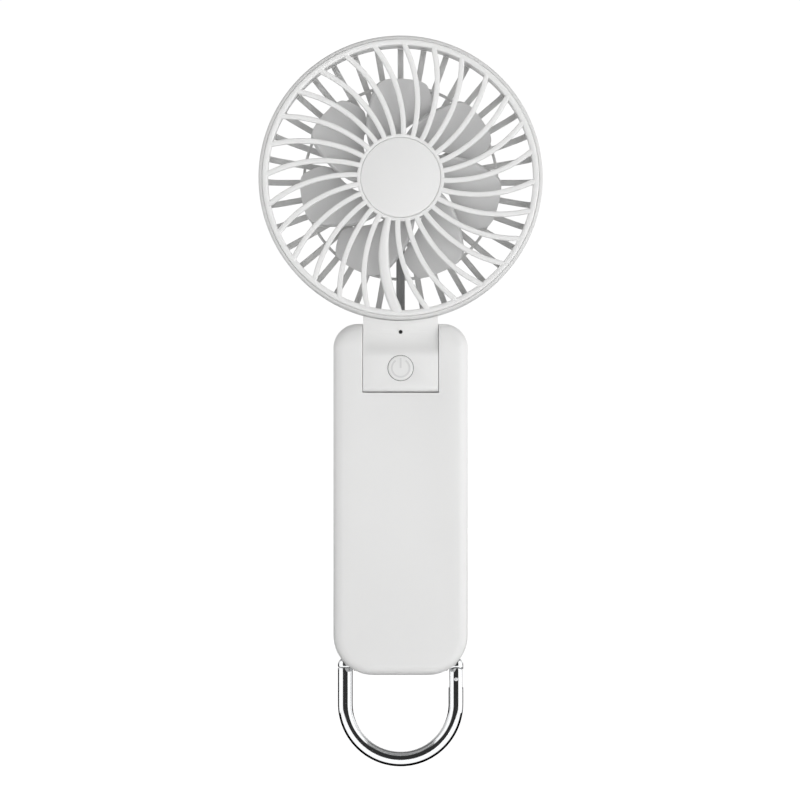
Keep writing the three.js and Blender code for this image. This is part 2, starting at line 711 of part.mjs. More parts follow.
// ---------------------------------------------------------------- impeller
const hubFront = -headFront + 3.4;
const hubBack = -8;
const bladeMiddle = -15.25;
const pitchPerDegree = 1 / 6;         // forward rise of a blade for each degree round the axis
const bladePitchCentre = 9;

// One blade: a flat outline about its own middle angle, pulled forward along its high-angle edge.
function blade(middle) {
  const edge = (count, places) => new THREE.SplineCurve(places.map(([radius, degrees]) => polar(radius, degrees)))
    .getPoints(count);
  const root = rotorHubRadius - 0.4;
  const tip = bladeTipRadius;
  const trailing = edge(8, [[root, 10], [14, 4.5], [16.5, -7], [19.5, -17], [tip - 7.5, -22.5],
    [tip - 4, -19.5], [tip - 1.5, -16]]);
  const end = edge(5, [[tip - 0.3, -13.5], [tip, -10], [tip, 0], [tip, 10], [tip - 0.3, 13.5]]);
  const leading = edge(6, [[tip - 0.9, 15.5], [tip - 6.8, 25.5], [17.9, 34], [13.5, 40.5], [root, 43]]);
  const geometry = new THREE.ExtrudeGeometry(new THREE.Shape([...trailing, ...end, ...leading]), {
    depth: bladeThickness, bevelEnabled: false,
  });
  const position = geometry.attributes.position;
  for (let i = 0; i < position.count; i += 1) {
    const x = position.getX(i);
    const y = position.getY(i);
    const degrees = THREE.MathUtils.radToDeg(Math.atan2(y, x));
    const rise = pitchPerDegree * (degrees - bladePitchCentre);
    position.setXYZ(i, x, bladeMiddle - rise + bladeThickness / 2 - position.getZ(i), y);
  }
  geometry.rotateY(THREE.MathUtils.degToRad(-middle));
  return solid(geometry.translate(0, 0, headZ));
}

function impeller() {
  const inside = rotorHubRadius - rotorHubWall;
  let body = turned([
    [0, hubFront], [rotorHubRadius - 1, hubFront], [rotorHubRadius, hubFront + 1],
    [rotorHubRadius, hubBack], [inside, hubBack], [inside, hubFront + rotorHubWall + 0.2],
    [bearingRadius, hubFront + rotorHubWall + 0.2], [bearingRadius, hubFront + 3.3],
    [shaftRadius + closeGap, hubFront + 3.3], [shaftRadius + closeGap, hubFront + 1],
    [0, hubFront + 1],
  ], 40);
  for (let i = 0; i < bladeCount; i += 1) {
    body = join(body, cut(blade(bladePhase + i * 360 / bladeCount),
      rodY(inside + 0.3, -far, far, 0, headZ, 40)));
  }
  return body;
}

const motorFront = hubFront + 3.6;
const magnetInner = rotorHubRadius - rotorHubWall - closeGap - 1.1;
const statorRadius = magnetInner - 0.5;
const tubeRadius = bearingRadius + closeGap + 1.1;
const plateBack = -1.2 - closeGap - 0.1;
const plateFront = plateBack - 1.7;

add('impeller', impeller(), bladePlastic);
add('magnet_ring', tube(magnetInner, magnetInner + 1.1, hubFront + rotorHubWall + 0.5, hubBack - 1, 32), magnetGrey);
add('motor_shaft', rodY(shaftRadius, hubFront + 1 + closeGap, plateFront - 1, 0, headZ, 16), steel);

// ---------------------------------------------------------------- motor
function motorBase() {
  let base = turned([
    [bearingRadius + closeGap, motorFront], [tubeRadius, motorFront], [tubeRadius, plateFront],
    [statorRadius + 1, plateFront], [statorRadius + 1, plateBack], [0, plateBack], [0, plateFront - 0.5],
    [bearingRadius + closeGap, plateFront - 0.5],
  ], 32);
  for (const angle of motorScrewAngles) {
    const place = polar(motorScrewCircle, angle);
    base = cut(base, rodY(motorScrewShank + closeGap, -far, far, place.x, headZ + place.y, 12));
  }
  return base;
}

add('motor_base', motorBase(), darkPlastic);
add('motor_stator', tube(tubeRadius + closeGap, statorRadius, motorFront + 1, hubBack - 0.5, 32), copper);
add('bearing_front', tube(shaftRadius + closeGap, bearingRadius, motorFront + 0.3, motorFront + 2.3, 16), steel);
add('bearing_rear', tube(shaftRadius + closeGap, bearingRadius, plateFront - 3, plateFront - 1, 16), steel);
motorScrewAngles.forEach((angle, i) => {
  const place = polar(motorScrewCircle, angle);
  add(`motor_screw_${i + 1}`, screw(motorScrewHead, 0.8, motorScrewShank,
    rearFace - 1.1 + closeGap + 0.8, plateFront + 0.1, place.x, headZ + place.y), steel);
});

// The motor lead runs down the front of the bottom spoke and through the tang into the neck.
const motorLeadRoute = new THREE.CatmullRomCurve3([
  new THREE.Vector3(0, plateBack - 1, headZ - statorRadius - 1.3),
  new THREE.Vector3(0, -2.2, headZ - 13.3),
  new THREE.Vector3(0, -0.9, headZ - 17),
  new THREE.Vector3(0, -0.9, headZ - 24),
  new THREE.Vector3(0, -0.9, headZ - 31),
  new THREE.Vector3(0, -2.4, headZ - 34.6),
  new THREE.Vector3(0, -5.2, headZ - 37.4),
  new THREE.Vector3(0, -7.4, headZ - 39.2),
  new THREE.Vector3(0, leadY, headZ - 41.5),
  new THREE.Vector3(0, leadY, headZ - 44.5),
  new THREE.Vector3(0, leadY, tangBottom + 0.5),
]);
add('motor_lead', wire(motorLeadRoute, 0.8, 26), darkPlastic);

// ---------------------------------------------------------------- carabiner ring
const bowTop = rivetZ + crownRadius;
const arcZ = ringAxisZ - ringStraight;
const slotFloor = rivetZ - tongueHalf - 2 * fitGap;

class BowPath extends THREE.Curve {
  getPoint(t, target = new THREE.Vector3()) {
    const straight = bowTop - arcZ;
    const arc = Math.PI * legX;
    const along = t * (2 * straight + arc);
    if (along < straight) return target.set(-legX, ringY, bowTop - along);
    if (along > straight + arc) return target.set(legX, ringY, arcZ + along - straight - arc);
    const angle = Math.PI + (along - straight) / legX;
    return target.set(legX * Math.cos(angle), ringY, arcZ + legX * Math.sin(angle));
  }
}

function bow() {
  const crown = cut(
    block(legX - crownRadius, legX + crownRadius, -far, far, rivetZ, far),
    rodY(crownRadius, -far, far, legX, rivetZ, 28));
  const slot = block(legX - crownRadius, legX + crownRadius, ringY - tongueThickness / 2 - fitGap,
    ringY + tongueThickness / 2 + fitGap, slotFloor, far);
  return cut(wire(new BowPath(), ringTubeRadius, 34, 12), crown, slot,
    rodY(rivetRadius + closeGap, -far, far, legX, rivetZ, 12),
    rodZ(0.85, slotFloor - 4.5, far, legX, ringY, 12));
}

function gate() {
  const collarIn = tailLugHalf + fitGap + 0.2;
  const legClear = ringTubeRadius + fitGap;
  const knuckle = (x) => join(
    solid(new THREE.SphereGeometry(ringTubeRadius, 14, 8).translate(x, ringY, ringAxisZ)),
    rodZ(ringTubeRadius, bowTop + fitGap, ringAxisZ, x, ringY));
  const bar = cut(
    join(
      rodX(gateBarRadius, -legX, legX, ringY, ringAxisZ),
      rodX(gateCollarRadius, collarIn, legX, ringY, ringAxisZ),
      rodX(gateCollarRadius, -legX, -collarIn, ringY, ringAxisZ),
      knuckle(-legX),
      knuckle(legX)),
    block(-legX - legClear, -legX + legClear, -far, far, -far, bowTop + fitGap),
    rodY(crownRadius + fitGap, -far, far, legX, rivetZ, 28));
  const tongue = join(
    block(legX - tongueHalf, legX + tongueHalf,
      ringY - tongueThickness / 2, ringY + tongueThickness / 2, rivetZ, ringAxisZ),
    rodY(tongueHalf, ringY - tongueThickness / 2, ringY + tongueThickness / 2, legX, rivetZ));
  return cut(join(bar, tongue), rodY(rivetRadius + closeGap, -far, far, legX, rivetZ, 12));
}

add('carabiner_gate', gate(), chrome);
add('carabiner_bow', bow(), chrome);
add('gate_rivet', rodY(rivetRadius, ringY - ringTubeRadius - 0.05, ringY + ringTubeRadius + 0.05,
  legX, rivetZ, 12), steel);
add('gate_spring', rodZ(0.6, slotFloor - 4.3, rivetZ - 2.2, legX, ringY, 10), steel);

export default fan;
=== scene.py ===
"""A palm-size electric fan: caged head on a folding neck, flat box handle, chrome carabiner ring."""

import json
import math

import bmesh
import bpy
from mathutils import Matrix, Vector


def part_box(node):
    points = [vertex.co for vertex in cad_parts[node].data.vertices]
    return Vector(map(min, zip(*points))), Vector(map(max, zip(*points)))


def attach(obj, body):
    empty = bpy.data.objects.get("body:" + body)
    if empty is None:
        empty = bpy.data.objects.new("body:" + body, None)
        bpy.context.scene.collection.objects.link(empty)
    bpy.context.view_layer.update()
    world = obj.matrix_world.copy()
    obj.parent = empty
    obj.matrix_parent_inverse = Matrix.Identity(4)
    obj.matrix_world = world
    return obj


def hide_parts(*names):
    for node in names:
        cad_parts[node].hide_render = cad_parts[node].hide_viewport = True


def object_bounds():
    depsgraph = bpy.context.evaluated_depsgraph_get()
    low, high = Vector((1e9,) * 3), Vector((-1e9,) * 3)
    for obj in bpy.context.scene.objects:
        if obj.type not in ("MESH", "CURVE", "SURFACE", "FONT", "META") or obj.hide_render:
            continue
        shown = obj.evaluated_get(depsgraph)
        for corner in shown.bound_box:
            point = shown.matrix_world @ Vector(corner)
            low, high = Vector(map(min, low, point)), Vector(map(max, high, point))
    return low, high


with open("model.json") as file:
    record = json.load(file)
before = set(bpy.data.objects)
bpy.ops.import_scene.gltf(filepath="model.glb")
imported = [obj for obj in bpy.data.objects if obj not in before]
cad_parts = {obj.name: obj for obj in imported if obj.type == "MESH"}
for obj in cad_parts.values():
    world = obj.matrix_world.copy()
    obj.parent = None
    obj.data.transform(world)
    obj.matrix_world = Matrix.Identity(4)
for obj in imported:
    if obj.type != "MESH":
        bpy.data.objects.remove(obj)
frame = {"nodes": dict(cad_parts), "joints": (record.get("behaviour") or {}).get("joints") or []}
cad_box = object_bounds()
MM = 0.001
joint_place = {joint["name"]: joint for joint in frame["joints"]}


# ---- camera, floor and light ------------------------------------------------------------------
# A long lens looks level at the front of the fan. The floor is a wide pale sheet well below it, and
# the light is a white surround that is dimmer overhead, with soft panels in front and at the right.
CAMERA_PLACE = (-0.18 * MM, -1064 * MM, 29.9 * MM)
CAMERA_LENS = 156.3
FLOOR_DROP, FLOOR_HALF = 260 * MM, 40.0
FADE_START, FADE_END = 0.5, 1.7
# Near and far floor colours: darker near the fan as painted shade, and a painted glow further out.
FLOOR_PAINTED_SHADES, FLOOR_GLOWS = (0.60, 0.96), (0.0, 0.75)
DOME_RADIUS, DOME_LEVEL = 9.0, 1.03
SURROUND_LEVEL = 1.03
POLE_LEVEL = 0.12
LEFT_LEVEL, RIGHT_LEVEL = 0.62, 1.0

lens = bpy.data.cameras.new("camera")
lens.lens = CAMERA_LENS
lens.sensor_width = 36
lens.clip_end = 200
camera = bpy.data.objects.new("camera", lens)
camera.location = CAMERA_PLACE
camera.rotation_euler = (math.radians(90), 0, 0)
bpy.context.scene.collection.objects.link(camera)
bpy.context.scene.camera = camera
bpy.context.scene.view_settings.view_transform = "Standard"


def new_material(name):
    """A material with its nodes cleared to one Principled shader, and that shader and its tree."""
    material = bpy.data.materials.new(name)
    material.use_nodes = True
    return material, material.node_tree, material.node_tree.nodes["Principled BSDF"]


def node(tree, kind, settings=()):
    """A node of a kind, with its inputs set from a dictionary of labels and values."""
    made = tree.nodes.new(kind)
    for label, value in dict(settings).items():
        made.inputs[label].default_value = value
    return made


def wire(tree, *links):
    """Links, each given as a node, its output, the next node and its input."""
    for source, output, target, entry in links:
        tree.links.new(source.outputs[output], target.inputs[entry])


def even(level):
    """An even grey, white or black, as a colour."""
    return (level, level, level, 1)


def new_object(name, data):
    """An object for a mesh or a lamp, put in the scene."""
    piece = bpy.data.objects.new(name, data)
    bpy.context.scene.collection.objects.link(piece)
    return piece


def from_shape(name, shape):
    """A bmesh as an object."""
    mesh = bpy.data.meshes.new(name)
    shape.to_mesh(mesh)
    shape.free()
    return new_object(name, mesh)


def make_floor():
    """Pale floor with painted shade that makes it darker near the fan, and a painted glow that fades it to
    white on its way to the horizon.
    """
    low = cad_box[0][2] - FLOOR_DROP
    mesh = bpy.data.meshes.new("floor")
    mesh.from_pydata([(-FLOOR_HALF, -FLOOR_HALF, low), (FLOOR_HALF, -FLOOR_HALF, low),
                      (FLOOR_HALF, FLOOR_HALF, low), (-FLOOR_HALF, FLOOR_HALF, low)],
                     [], [(0, 1, 2, 3)])
    floor = new_object("floor", mesh)
    paper, tree, shader = new_material("floor_paper")
    shader.inputs["Roughness"].default_value = 0.9
    shader.inputs["Emission Strength"].default_value = 1.0
    where = node(tree, "ShaderNodeTexCoord")
    size = node(tree, "ShaderNodeVectorMath")
    size.operation = "LENGTH"
    share = node(tree, "ShaderNodeMapRange", {"From Min": FADE_START, "From Max": FADE_END})
    wire(tree, (where, "Object", size, 0), (size, "Value", share, "Value"))
    for socket, (near, far) in (("Base Color", FLOOR_PAINTED_SHADES), ("Emission Color", FLOOR_GLOWS)):
        ramp = node(tree, "ShaderNodeValToRGB")
        ramp.color_ramp.elements[0].color = even(near)
        ramp.color_ramp.elements[1].color = even(far)
        wire(tree, (share, "Result", ramp, "Fac"), (ramp, "Color", shader, socket))
    floor.data.materials.append(paper)


def make_surround():
    """White at the horizon, dimmer towards both poles, and dimmer at the left than at the right."""
    world = bpy.data.worlds.new("surround")
    bpy.context.scene.world = world
    world.use_nodes = True
    tree = world.node_tree
    background = tree.nodes["Background"]
    where = node(tree, "ShaderNodeTexCoord")
    split = node(tree, "ShaderNodeSeparateXYZ")
    rise = node(tree, "ShaderNodeMath")
    rise.operation = "ABSOLUTE"
    height = node(tree, "ShaderNodeMapRange", {"From Min": 0.14, "From Max": 0.85, "To Min": 1.0,
                                               "To Max": POLE_LEVEL / SURROUND_LEVEL})
    height.interpolation_type = "SMOOTHSTEP"
    side = node(tree, "ShaderNodeValToRGB")
    for stop, place, level in zip(side.color_ramp.elements, (0.1, 0.43), (LEFT_LEVEL, RIGHT_LEVEL)):
        stop.position = place
        stop.color = even(level)
    across = node(tree, "ShaderNodeMapRange", {"From Min": -1.0})
    product = node(tree, "ShaderNodeVectorMath")
    product.operation = "MULTIPLY"
    wire(tree, (where, "Generated", split, "Vector"), (split, "Z", rise, 0),
         (rise, 0, height, "Value"), (split, "X", across, "Value"), (across, "Result", side, "Fac"),
         (height, "Result", product, 0), (side, "Color", product, 1),
         (product, "Vector", background, "Color"))
    background.inputs["Strength"].default_value = SURROUND_LEVEL


def soft_panel(name, place, aim, width, height, power):
    panel = bpy.data.lights.new(name, "AREA")
    panel.shape = "RECTANGLE"
    panel.size = width
    panel.size_y = height
    panel.energy = power
    lamp = new_object(name, panel)
    lamp.location = place
    lamp.rotation_euler = (Vector(aim) - Vector(place)).to_track_quat("-Z", "Y").to_euler()
    lamp.visible_glossy = False


def felt(name, shade):
    """A surface that neither mirrors nor scatters, and only shows its own even shade."""
    material, tree, shader = new_material(name)
    shader.inputs["Base Color"].default_value = even(0)
    shader.inputs["Roughness"].default_value = 1.0
    shader.inputs["Specular IOR Level"].default_value = 0.0
    shader.inputs["Emission Color"].default_value = even(shade)
    shader.inputs["Emission Strength"].default_value = 1.0
    return material


def make_dome():
    """A wide white dome that lights nothing, so that the floor has no hard horizon behind it."""
    shape = bmesh.new()
    bmesh.ops.create_uvsphere(shape, u_segments=48, v_segments=24, radius=DOME_RADIUS)
    dome = from_shape("dome", shape)
    dome.data.materials.append(felt("dome_white", DOME_LEVEL))
    dome.visible_diffuse = dome.visible_glossy = dome.visible_transmission = dome.visible_shadow = False


def mirror_card(name, middle, width, height, turn, shade):
    """A flat card that only reflections see, for the dark and light bands in polished metal."""
    mesh = bpy.data.meshes.new(name)
    corners = [(-width / 2, 0, -height / 2), (width / 2, 0, -height / 2), (width / 2, 0, height / 2),
               (-width / 2, 0, height / 2)]
    tilt, pan = (math.radians(angle) for angle in turn)
    turned_by = Matrix.Rotation(pan, 3, "Z") @ Matrix.Rotation(tilt, 3, "X")
    mesh.from_pydata([Vector(middle) + turned_by @ Vector(corner) for corner in corners],
                     [], [(0, 1, 2, 3)])
    card = new_object(name, mesh)
    card.data.materials.append(felt(name, shade))
    card.visible_camera = card.visible_diffuse = card.visible_shadow = False


make_floor()
make_surround()
make_dome()
soft_panel("front_panel", (0.35, -1.35, -0.3), (0, 0, 0.02), 0.9, 0.9, 8.8)
soft_panel("right_panel", (1.3, -0.35, 0.1), (0, 0, 0.02), 0.7, 0.9, 2.6)
for label, middle, width, height, turn, shade in (
        ("front_card", (0.02, -1.2, 0.55), 1.9, 1.7, (0, 0), 0.03),
        ("back_card", (-0.13, 0.24, -0.34), 1.0, 0.62, (0, 0), 0.0),
        ("low_back_card", (0.0, 0.345, -0.33), 2.2, 0.75, (-90, 0), 0.0),
        ("left_card", (-1.25, -0.5, 0.0), 1.7, 2.4, (0, 90), 1.15),
        ("right_card", (1.25, -0.5, 0.0), 1.7, 2.4, (0, -90), 1.2),
        ("low_front_card", (0.0, -0.6, -0.33), 2.2, 1.1, (-90, 0), 1.15),
        ("high_card", (0.0, -0.25, 1.45), 2.2, 1.2, (90, 0), 1.1)):
    mirror_card(label, middle, width, height, turn, shade)


# ---- handle front shell -----------------------------------------------------------------------
# Injection-moulded white ABS, satin from a lightly sparked mould, its front edges rounded 3 mm. It
# is an open tray: the notch for the neck is cut through its top, and the charging slot is in its foot.
HANDLE_WIDTH, HANDLE_HEIGHT, HANDLE_DEPTH = 40.4, 105.7, 22.0
TOP_CORNER, BOTTOM_CORNER = 7.2, 12.0
FRONT_EDGE, BACK_EDGE = 3.2, 4.5
TOP_SLOPE, TOP_SINK = 3.8, 3.0
SHELL_WALL = 1.8
FRONT_PART, BACK_PART = -10.1, -9.9
NOTCH_HALF, NOTCH_FLOOR = 11.45, 32.1
TAIL_TOP, TAIL_LUG_HALF = -43.3, 7.0
USB_HALF, USB_FRONT, USB_BACK = 4.8, -18.2, -14.4
SHELL_WHITE = (0.86, 0.86, 0.855)
CORNER_STEPS, EDGE_STEPS = 14, 10
SHARP_ANGLE = math.radians(48)
FAR = 300.0


def plastic(name, colour, roughness, spark=0.012, shade=0.02):
    """Moulded plastic: a faint slow change of shade, and a fine sparked grain in gloss and relief."""
    material, tree, shader = new_material(name)
    where = node(tree, "ShaderNodeTexCoord")
    slow = node(tree, "ShaderNodeTexNoise", {"Scale": 28.0, "Detail": 3.0})
    fine = node(tree, "ShaderNodeTexNoise", {"Scale": 2600.0, "Detail": 2.0})
    tint = node(tree, "ShaderNodeValToRGB")
    for stop, place, share in zip(tint.color_ramp.elements, (0.3, 0.7), (1 - shade, 1)):
        stop.position = place
        stop.color = tuple(part * share for part in colour) + (1,)
    gloss = node(tree, "ShaderNodeMapRange", {"To Min": roughness - 0.05, "To Max": roughness + 0.06})
    relief = node(tree, "ShaderNodeBump", {"Strength": 0.25, "Distance": spark * MM})
    wire(tree, (where, "Object", slow, "Vector"), (where, "Object", fine, "Vector"),
         (slow, "Fac", tint, "Fac"), (tint, "Color", shader, "Base Color"),
         (slow, "Fac", gloss, "Value"), (gloss, "Result", shader, "Roughness"),
         (fine, "Fac", relief, "Height"), (relief, "Normal", shader, "Normal"))
    return material


def mesh_object(name, shape):
    """A bmesh in millimetres as an object in metres, its faces turned outwards."""
    bmesh.ops.recalc_face_normals(shape, faces=shape.faces)
    bmesh.ops.scale(shape, vec=(MM, MM, MM), verts=shape.verts)
    return from_shape(name, shape)


def stacked(name, loops):
    """A closed solid through a list of loops of equal length, with flat ends."""
    shape = bmesh.new()
    rings = [[shape.verts.new(point) for point in loop] for loop in loops]
    for below, above in zip(rings, rings[1:]):
        for i in range(len(below)):
            j = (i + 1) % len(below)
            shape.faces.new((below[i], below[j], above[j], above[i]))
    shape.faces.new(rings[0])
    shape.faces.new(rings[-1])
    return mesh_object(name, shape)


def box_tool(x0, x1, y0, y1, z0, z1):
    return stacked("box", [[(x0, y, z0), (x1, y, z0), (x1, y, z1), (x0, y, z1)] for y in (y0, y1)])


def rod(radius, start, end, steps=48):
    """A round rod between two points."""
    along = Vector(end) - Vector(start)
    turn = along.to_track_quat("Z", "Y")
    loops = []
    for middle in (Vector(start), Vector(end)):
        loops.append([middle + turn @ Vector((radius * math.cos(a), radius * math.sin(a), 0))
                      for a in (math.tau * i / steps for i in range(steps))])
    return stacked("rod", loops)


def rod_y(radius, y0, y1, x, z, steps=48):
    return rod(radius, (x, y0, z), (x, y1, z), steps)


def plain(piece):
    """The piece with its modifiers worked into its mesh."""
    graph = bpy.context.evaluated_depsgraph_get()
    mesh = bpy.data.meshes.new_from_object(piece.evaluated_get(graph))
    mesh.name = piece.name
    piece.modifiers.clear()
    piece.data = mesh
    return piece


def boolean(piece, tools, operation="DIFFERENCE"):
    for tool in tools:
        step = piece.modifiers.new(operation, "BOOLEAN")
        step.operation = operation
        step.solver = "EXACT"
        step.object = tool
        plain(piece)
        bpy.data.objects.remove(tool)
    return piece


def soften(piece, width, segments=2, angle=32):
    """Every sharp edge rounded a little, as a mould leaves it, and smooth shading between them."""
    edge = piece.modifiers.new("edges", "BEVEL")
    edge.width = width * MM
    edge.segments = segments
    edge.limit_method = "ANGLE"
    edge.angle_limit = math.radians(angle)
    edge.harden_normals = False
    edge.use_clamp_overlap = True
    piece.data.shade_smooth()
    plain(piece)
    piece.data.shade_smooth()
    piece.data.set_sharp_from_angle(angle=SHARP_ANGLE)
    return piece


def finished(piece, name, material, body, nodes):
    piece.name = name
    piece.data.name = name
    piece.data.materials.clear()
    piece.data.materials.append(material)
    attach(piece, body)
    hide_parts(*nodes)
    return piece


def handle_loop(inset, y, slope=0.0, sink=0.0):
    """The handle's outline at a depth, drawn in by `inset`; its top is drawn in and back by more."""
    side, top, bottom = HANDLE_WIDTH / 2 - inset, HANDLE_HEIGHT / 2 - inset, -HANDLE_HEIGHT / 2 + inset
    corners = [(side, bottom, BOTTOM_CORNER, -90), (side, top, TOP_CORNER, 0),
               (-side, top, TOP_CORNER, 90), (-side, bottom, BOTTOM_CORNER, 180)]
    loop = []
    for x, z, corner, start in corners:
        radius = max(corner - inset, 0.05)
        for i in range(CORNER_STEPS + 1):
            angle = math.radians(start + 90 * i / CORNER_STEPS)
            middle_x = x - math.copysign(radius, x)
            middle_z = z - math.copysign(radius, z)
            share = max(math.sin(angle), 0) if z > 0 else 0
            loop.append((middle_x + radius * math.cos(angle), y + sink * share,
                         middle_z + radius * math.sin(angle) - slope * share))
    return loop


def handle_tray(inset, face, part, edge, slope=0.0, sink=0.0):
    """Half of the handle block from its outer face to the parting plane, its outer edge rounded."""
    inwards = 1 if part > face else -1
    loops = []
    for i in range(EDGE_STEPS + 1):
        angle = math.radians(90 * i / EDGE_STEPS)
        extra = edge * (1 - math.sin(angle))
        loops.append(handle_loop(inset + extra, face + inwards * edge * (1 - math.cos(angle)),
                                 slope * (1 - math.sin(angle)), sink * (1 - math.cos(angle))))
    loops.append(handle_loop(inset, part))
    return stacked("tray", loops)


def notch_tool(floor, grow=0.0):
    return box_tool(-NOTCH_HALF - grow, NOTCH_HALF + grow, -FAR, FAR, floor - grow, FAR)


shell_plastic = plastic("shell_plastic", SHELL_WHITE, 0.42)
front_shell = handle_tray(0, -HANDLE_DEPTH, FRONT_PART, FRONT_EDGE, TOP_SLOPE, TOP_SINK)
front_hollow = handle_tray(SHELL_WALL, SHELL_WALL - HANDLE_DEPTH, FRONT_PART + 1, FRONT_EDGE - SHELL_WALL,
                           TOP_SLOPE, TOP_SINK)
front_hollow = boolean(front_hollow, [
    notch_tool(NOTCH_FLOOR, SHELL_WALL),
    box_tool(SHELL_WALL - TAIL_LUG_HALF - FAR, SHELL_WALL - TAIL_LUG_HALF, FRONT_PART - SHELL_WALL, FAR,
             -FAR, TAIL_TOP + SHELL_WALL),
    box_tool(TAIL_LUG_HALF - SHELL_WALL, FAR, FRONT_PART - SHELL_WALL, FAR, -FAR, TAIL_TOP + SHELL_WALL)])
usb_radius = (USB_BACK - USB_FRONT) / 2
usb_middle = (USB_BACK + USB_FRONT) / 2
usb_slot = stacked("slot", [[
    (math.copysign(USB_HALF - usb_radius, math.cos(angle)) + usb_radius * math.cos(angle),
     usb_middle + usb_radius * math.sin(angle), z)
    for angle in (math.tau * (i + 0.5) / 32 for i in range(32))]
    for z in (-HANDLE_HEIGHT / 2 - 1, -HANDLE_HEIGHT / 2 + SHELL_WALL + 1)])
front_shell = boolean(front_shell, [front_hollow, notch_tool(NOTCH_FLOOR), usb_slot])
soften(front_shell, 0.16, 3)
finished(front_shell, "front_shell", shell_plastic, "handle", ["handle_front_shell"])


# ---- handle back shell ------------------------------------------------------------------------
# The lid of the same white ABS, held by four screws in counterbores. Its tail is cut away on both
# sides of a solid lug, and the gate of the carabiner ring runs through a hole in that lug.
ring_axis = Vector(joint_place["ring_swing"]["pos_m"]) / MM
SCREW_PLACES = [(14.6, 22.0), (-14.6, 22.0), (14.6, -34.0), (-14.6, -34.0)]
SCREW_HEAD, SCREW_SEAT = 1.9, -2.2
COUNTERBORE = SCREW_HEAD + 0.3
BACK_FLOOR = NOTCH_FLOOR + 0.32

back_shell = handle_tray(0, 0, BACK_PART, BACK_EDGE)
back_hollow = handle_tray(SHELL_WALL, -SHELL_WALL, BACK_PART - 1, BACK_EDGE - SHELL_WALL)
back_hollow = boolean(back_hollow, [
    notch_tool(BACK_FLOOR, SHELL_WALL),
    box_tool(-FAR, FAR, -FAR, FAR, -FAR, TAIL_TOP + SHELL_WALL)]
    + [rod_y(3, -FAR, FAR, x, z) for x, z in SCREW_PLACES])
back_shell = boolean(back_shell, [
    back_hollow,
    notch_tool(BACK_FLOOR),
    box_tool(-FAR, -TAIL_LUG_HALF, -FAR, FAR, -FAR, TAIL_TOP),
    box_tool(TAIL_LUG_HALF, FAR, -FAR, FAR, -FAR, TAIL_TOP),
    rod(1.5, (-FAR, ring_axis.y, ring_axis.z), (FAR, ring_axis.y, ring_axis.z))]
    + [rod_y(COUNTERBORE, SCREW_SEAT, FAR, x, z) for x, z in SCREW_PLACES]
    + [rod_y(SCREW_HEAD * 0.65, -FAR, FAR, x, z, 32) for x, z in SCREW_PLACES])
soften(back_shell, 0.3, 3)
finished(back_shell, "back_shell", shell_plastic, "handle", ["handle_back_shell"])


# ---- neck covers ------------------------------------------------------------------------------
# Two white ABS covers meet on the hinge axis. The front one is flat where the button sits and is
# scooped above it, up to the rim of the head; the back one is round about the hinge, to roll freely.
hinge = Vector(joint_place["head_fold"]["pos_m"]) / MM
head = Vector(joint_place["rotor_spin"]["pos_m"]) / MM
NECK_HALF, NECK_WALL, BARREL = 11.3, 1.6, 9.8
FRONT_DROP, PIN_HOLE = 0.25, 1.8
TANG_HALF, TANG_FRONT, TANG_BACK, TANG_FOOT, TANG_PLAY = 8.0, -13.4, -3.0, hinge.z + 4.1, 0.3
SCOOP_FOOT, SCOOP_TOP = hinge.z + 1.9, hinge.z + 11.5
HEAD_RADIUS = 42.6
BUTTON_HOLE, BUTTON_DROP = 3.92, 2.9
INDICATOR_RISE, INDICATOR_HOLE = 8.0, 0.6


def neck_profile(inset, top):
    front = -HANDLE_DEPTH + inset
    shoulder = front + 4
    radius = BARREL - inset
    corner = max(1.6 - inset, 0.1)
    bottom = hinge.z - radius - FRONT_DROP
    points = []
    for i in range(25):
        angle = math.radians(-90 + 90 * i / 24)
        points.append((hinge.y + radius * math.cos(angle), hinge.z + radius * math.sin(angle)))
    points += [(hinge.y + radius, top), (shoulder, top)]
    bends = [(shoulder, SCOOP_TOP - inset), (shoulder - 0.4, SCOOP_FOOT + 0.7 - inset),
             (front, SCOOP_FOOT + 1.7 - inset), (front, SCOOP_FOOT - 1.7 - inset)]
    for i in range(21):
        t = i / 20
        weights = ((1 - t) ** 3, 3 * t * (1 - t) ** 2, 3 * t ** 2 * (1 - t), t ** 3)
        points.append(tuple(sum(weight * part for weight, part in zip(weights, parts))
                            for parts in zip(*bends)))
    for i in range(9):
        angle = math.radians(180 + 90 * i / 8)
        points.append((front + corner + corner * math.cos(angle), bottom + corner + corner * math.sin(angle)))
    return points


def neck_solid(inset, top, half):
    return stacked("neck", [[(x, y, z) for y, z in neck_profile(inset, top)] for x in (-half, half)])


def neck_cover(keep_y0, keep_y1):
    cover = neck_solid(0, head.z - 20, NECK_HALF)
    hollow = neck_solid(NECK_WALL, head.z - HEAD_RADIUS - 1.5, NECK_HALF - NECK_WALL)
    boolean(cover, [hollow, rod_y(HEAD_RADIUS + 0.12, -FAR, FAR, 0, head.z, 256),
                    rod(PIN_HOLE, (-FAR, hinge.y, hinge.z), (FAR, hinge.y, hinge.z)),
                    box_tool(-TANG_HALF - TANG_PLAY, TANG_HALF + TANG_PLAY, TANG_FRONT - TANG_PLAY,
                             TANG_BACK + TANG_PLAY, TANG_FOOT - TANG_PLAY, FAR)])
    return boolean(cover, [box_tool(-FAR, FAR, keep_y0, keep_y1, -FAR, FAR)], "INTERSECT")


button_z = hinge.z - BUTTON_DROP
indicator_z = hinge.z + INDICATOR_RISE
front_cover = neck_cover(-FAR, FRONT_PART)
boolean(front_cover, [rod_y(BUTTON_HOLE, -FAR, -19, 0, button_z, 96),
                      rod_y(INDICATOR_HOLE, -FAR, -14.5, 0, indicator_z, 32)])
soften(front_cover, 0.22, 3, 40)
finished(front_cover, "neck_front", shell_plastic, "head", ["neck_front_cover"])

